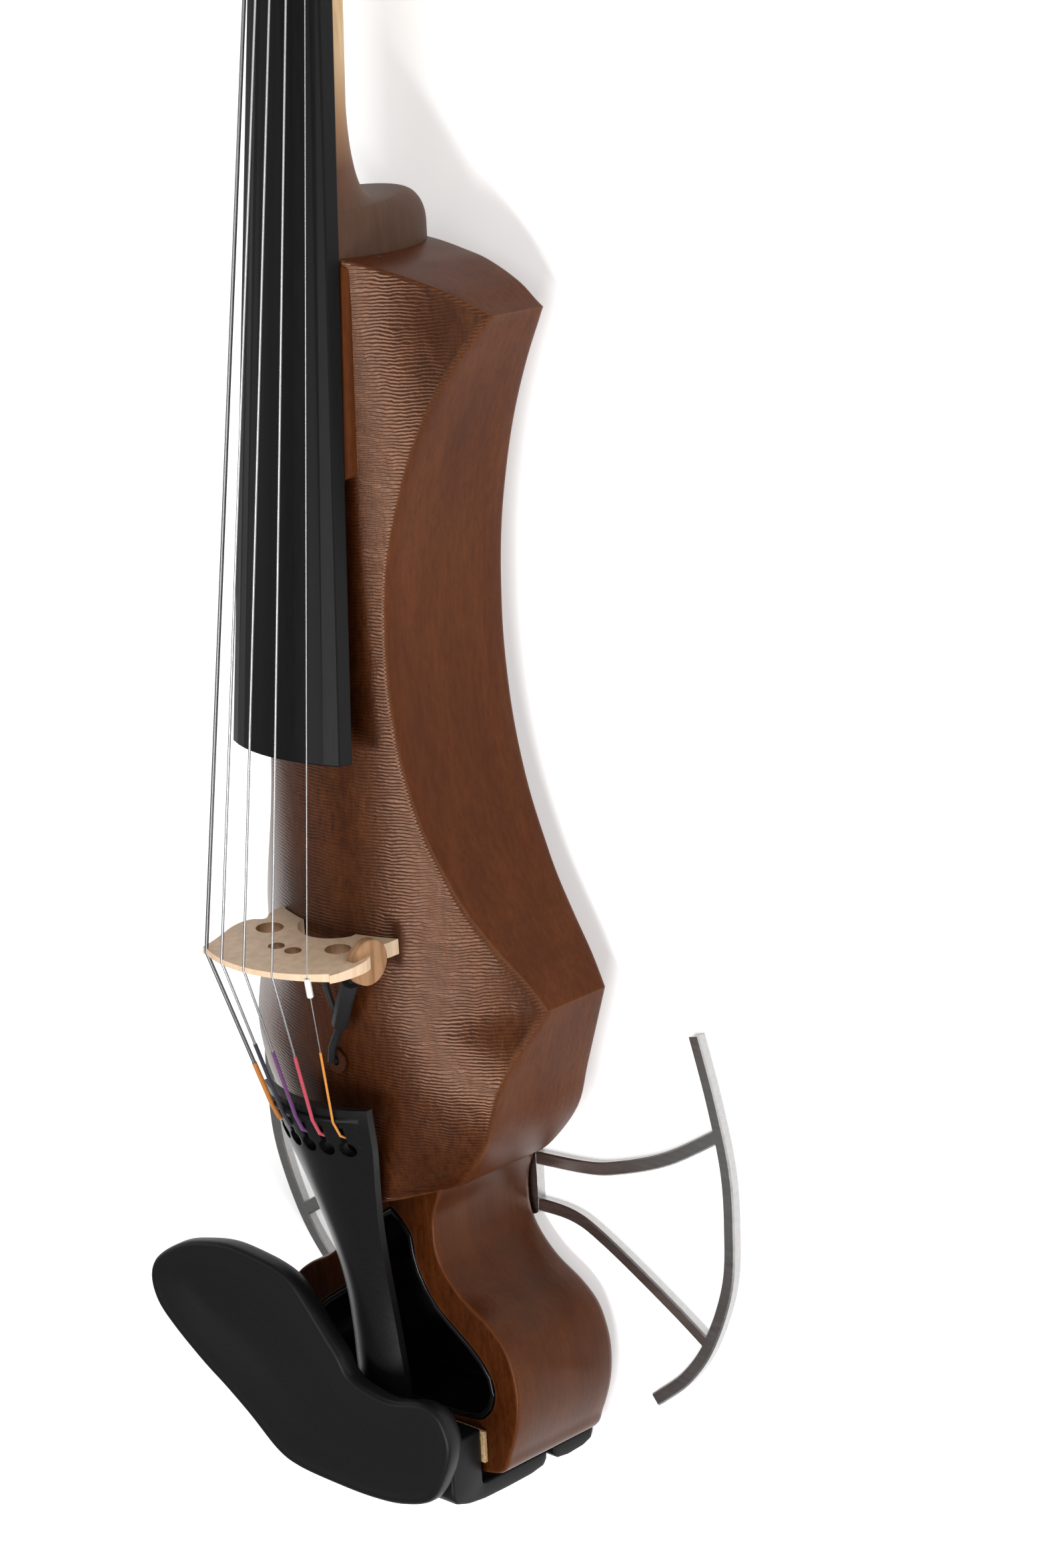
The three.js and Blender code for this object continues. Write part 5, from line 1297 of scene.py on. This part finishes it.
def rounded_slab(profile, x0, x1, ease):
    outline = even_points(curve_through(profile, 1, closed=True), 96, closed=True)
    bm = bmesh.new()
    rows = []
    for x, out in ((x0, -ease), (x0 + 0.3 * ease, -0.3 * ease), (x0 + ease, 0), ((x0 + x1) / 2, 0),
                   (x1 - ease, 0), (x1 - 0.3 * ease, -0.3 * ease), (x1, -ease)):
        rows.append([place(x, y, z) for y, z in moved_out(outline, out)])
    plank_closed(bm, rows)
    return bm


CLAMP_HALF = 5.8
for side, x in (("treble", 28), ("bass", -24)):
    jaw = rounded_slab(jaw_profile, x - CLAMP_HALF, x + CLAMP_HALF, 0.9)
    finish_piece("jaw_" + side, jaw, CHINREST_BLACK, "violin", ["clamp_jaw_" + side],
                 crisp=45)
    hook = rounded_slab(hook_profile, x - CLAMP_HALF, x + CLAMP_HALF, 0.6)
    finish_piece("hook_" + side, hook, CHINREST_BLACK, "clamp_hook_" + side,
                 ["clamp_hook_" + side], crisp=45)

# %% [markdown]
# The shoulder bracket is flat aluminium bar: one long arc on each side, held by two arms from a
# root plate. Each bar is a rectangular section with eased corners, planked along its curve.

# %% The shoulder bracket
BAR_WIDTH, BAR_LOW, BAR_HIGH = 4.2, -61.6, -58.3
wing_shares = [
    (0.891, 1), (0.949, 0.842), (0.994, 0.675), (1, 0.525), (0.981, 0.367), (0.897, 0.2),
    (0.791, 0.086), (0.66, 0),
]
upper_arm_shares = [(0.16, 0.552), (0.4, 0.567), (0.538, 0.591), (0.749, 0.655), (0.962, 0.755)]
lower_arm_shares = [(0.12, 0.425), (0.33, 0.428), (0.475, 0.388), (0.738, 0.271), (0.9, 0.19)]


WING_HALF, WING_TAIL, WING_LENGTH = 94.8, -151, 120


def bar_rows(shares, side, steps, sunk):
    # sunk makes an arm a hair thinner than the wing, so that no two faces lie in one plane
    spots = [(side * x * WING_HALF, WING_TAIL + y * WING_LENGTH) for x, y in shares]
    line = even_points(curve_through(spots, 12), steps)
    rows = []
    half, ease = BAR_WIDTH / 2, 0.45
    low, high = BAR_LOW + sunk, BAR_HIGH - sunk
    profile = [(-half, low + ease), (-half, high - ease), (ease - half, high), (half - ease, high),
               (half, high - ease), (half, low + ease), (half - ease, low), (ease - half, low)]
    for i, (x, y) in enumerate(line):
        before, after = line[max(i - 1, 0)], line[min(i + 1, len(line) - 1)]
        along = Vector((after[0] - before[0], after[1] - before[1])).normalized()
        rows.append([place(x - along.y * out, y + along.x * out, level) for out, level in profile])
    return rows


bracket_mesh = bmesh.new()
for side in (1, -1):
    for shares, steps, sunk in (
        (wing_shares, 60, 0), (upper_arm_shares, 30, 0.06), (lower_arm_shares, 30, 0.09),
    ):
        plank_closed(bracket_mesh, bar_rows(shares, side, steps, sunk))
finish_piece("bracket_bars", bracket_mesh, ALUMINIUM, "violin", ["shoulder_bracket"],
             crisp=28)

root_mesh = box_mesh(-19, 19, -103, -77, BAR_LOW + 0.03, BAR_HIGH - 0.03)
bevel_edges(root_mesh, upright_edges(root_mesh, 0.001), 2.5, 6)
root = finish_piece("bracket_root", root_mesh, ALUMINIUM, "violin", ["shoulder_bracket"],
                    crisp=28)
for i in range(1, 5):
    low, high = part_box("bracket_screw_%d" % i)
    middle = ((low + high) / 2 - BRIDGE_FOOT) / MM
    carve(root, drum(middle.x, middle.y, BAR_LOW - 4, BAR_LOW + 1.8, 3.2))
add_bevel(root, 0.4, 2)

# %% [markdown]
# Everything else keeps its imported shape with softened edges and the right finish.

# %% The remaining pieces
softened("fingerboard", EBONY, width=0.5, segments=3)
softened("nut", EBONY, width=0.3)
softened("saddle", EBONY, width=0.4)
softened("end_button", EBONY, width=0.5, segments=3)
for letter in PEG_NAMES:
    softened("peg_" + letter, EBONY, width=0.9, segments=3, crisp=45)
softened("string_protector", WHITE_PLASTIC, width=0.15)
softened("pickup_disc", DISC_WOOD, width=0.4)
softened("pickup_sleeve", RUBBER_BLACK, width=0.3, crisp=60)
softened("pickup_lead", RUBBER_BLACK, width=0, crisp=60)
softened("cable_grommet", RUBBER_BROWN, width=0.25)
softened("tailgut", PLASTIC_BLACK, width=0, crisp=60)
softened("pocket_liner", LINER_BLACK, width=0.3)
softened("rear_cover", PLASTIC_BLACK, width=0.4)
softened("preamp_board", BOARD_GREEN, width=0.1)
for side in ("treble", "bass"):
    softened("clamp_screw_" + side, DARK_STEEL, width=0.3)
    softened("front_cork_" + side, CORK, width=0.25)
    softened("back_cork_" + side, CORK, width=0.2)
for knob in ("volume", "tone"):
    softened(knob + "_knob", PLASTIC_BLACK, width=0.7, segments=3)
    softened(knob + "_pot", STEEL, width=0.2)
softened("battery_door", PLASTIC_BLACK, width=0.3)
softened("door_hinge_pin", STEEL, width=0.1)
softened("battery", LINER_BLACK, width=1.0, segments=3)
softened("battery_snap", PLASTIC_BLACK, width=0.4)
for node in sorted(frame["nodes"]):
    if node.startswith(("bracket_screw", "cover_screw")):
        softened(node, STEEL, width=0.3)

# %% [markdown]
# How far away the photograph was taken can't be told from it. A distance of 1.5 m was assumed, and
# the three angles, the lens and two small offsets were fitted to the picture for that distance.
# A nearer camera fitted slightly better, so the perspective here is a choice and not a finding.

# %% The camera
AZIMUTH, ELEVATION, ROLL = math.radians(44.45), math.radians(18.40), math.radians(-3.27)
flat = math.cos(ELEVATION)
backward = Vector((math.sin(AZIMUTH) * flat, math.sin(ELEVATION), math.cos(AZIMUTH) * flat))
level_right = Vector((0, 1, 0)).cross(backward).normalized()
level_up = backward.cross(level_right)
right = math.cos(ROLL) * level_right + math.sin(ROLL) * level_up
up = -math.sin(ROLL) * level_right + math.cos(ROLL) * level_up
SIDEWAYS, UPWARD, DISTANCE = 54.53, 43.07, 1500
camera_spot = BRIDGE_FOOT + (SIDEWAYS * right + UPWARD * up + DISTANCE * backward) * MM
SENSOR, FOCAL_PIXELS, PICTURE_HEIGHT = 36, 7842.2, 2351
camera_data = bpy.data.cameras.new("camera")
camera_data.sensor_width = SENSOR
camera_data.lens = FOCAL_PIXELS * SENSOR / PICTURE_HEIGHT
camera_data.clip_start = 0.05
camera_data.clip_end = 20
camera = add_object("camera", camera_data)
turn = Matrix((right, up, backward)).transposed().to_4x4()
camera.matrix_world = Matrix.Translation(camera_spot) @ turn
bpy.context.scene.camera = camera
print("camera at", [round(v, 3) for v in camera_spot], "lens", round(camera_data.lens, 2))

# %% [markdown]
# The floor is plain and pale, under the bracket, and glows a little so that it stays as white as
# in the photograph. Four soft boxes light the violin. The one named band is long and very narrow,
# which draws a light streak down the belly; a wide box would spread it over the whole arch. The others
# keep the black pieces readable, and a dim sky fills the rest.

# %% Floor and light
floor_mesh = bmesh.new()
bmesh.ops.create_grid(floor_mesh, x_segments=1, y_segments=1, size=4)
floor_data = bpy.data.meshes.new("floor")
floor_mesh.to_mesh(floor_data)
floor_mesh.free()
floor = add_object("floor", floor_data)
floor_stops = [(0.3, (0.84, 0.84, 0.84)), (0.7, (0.86, 0.86, 0.86))]
FLOOR_WHITE = speckled("pale floor", 3, 1, floor_stops, 0.9)
floor_tree = FLOOR_WHITE.node_tree
feed(floor_tree, floor_tree.nodes["Principled BSDF"], Specular_IOR_Level=0.1, Emission_Strength=0.5,
     Emission_Color=(1, 1, 1, 1))
floor_data.materials.append(FLOOR_WHITE)


def soft_box(name, spot, aim, size, power):
    light = bpy.data.lights.new(name, "AREA")
    light.shape = "RECTANGLE"
    light.size, light.size_y = size
    light.energy = power
    lamp = add_object(name, light)
    lamp.location = spot
    lamp.rotation_euler = (Vector(aim) - Vector(spot)).to_track_quat("-Z", "Y").to_euler()


soft_box("key", (0.15, 0.45, 1.6), (0, 0.1, 0), (0.7, 1.6), 4)
soft_box("band", (0.50, -0.33, 1.42), (0.02, 0.1, 0.05), (0.14, 1.3), 20)
soft_box("side", (1.5, 0.3, 0.7), (0, 0.1, 0.03), (0.8, 1.2), 5.5)
soft_box("rim", (-1.3, 0.2, 0.9), (0, 0.1, 0.03), (0.6, 1.4), 3)

world = bpy.data.worlds.new("sky")
world.use_nodes = True
feed(world.node_tree, world.node_tree.nodes["Background"], Color=(1, 1, 1, 1), Strength=0.2)
bpy.context.scene.world = world
bpy.context.scene.view_settings.view_transform = "Standard"
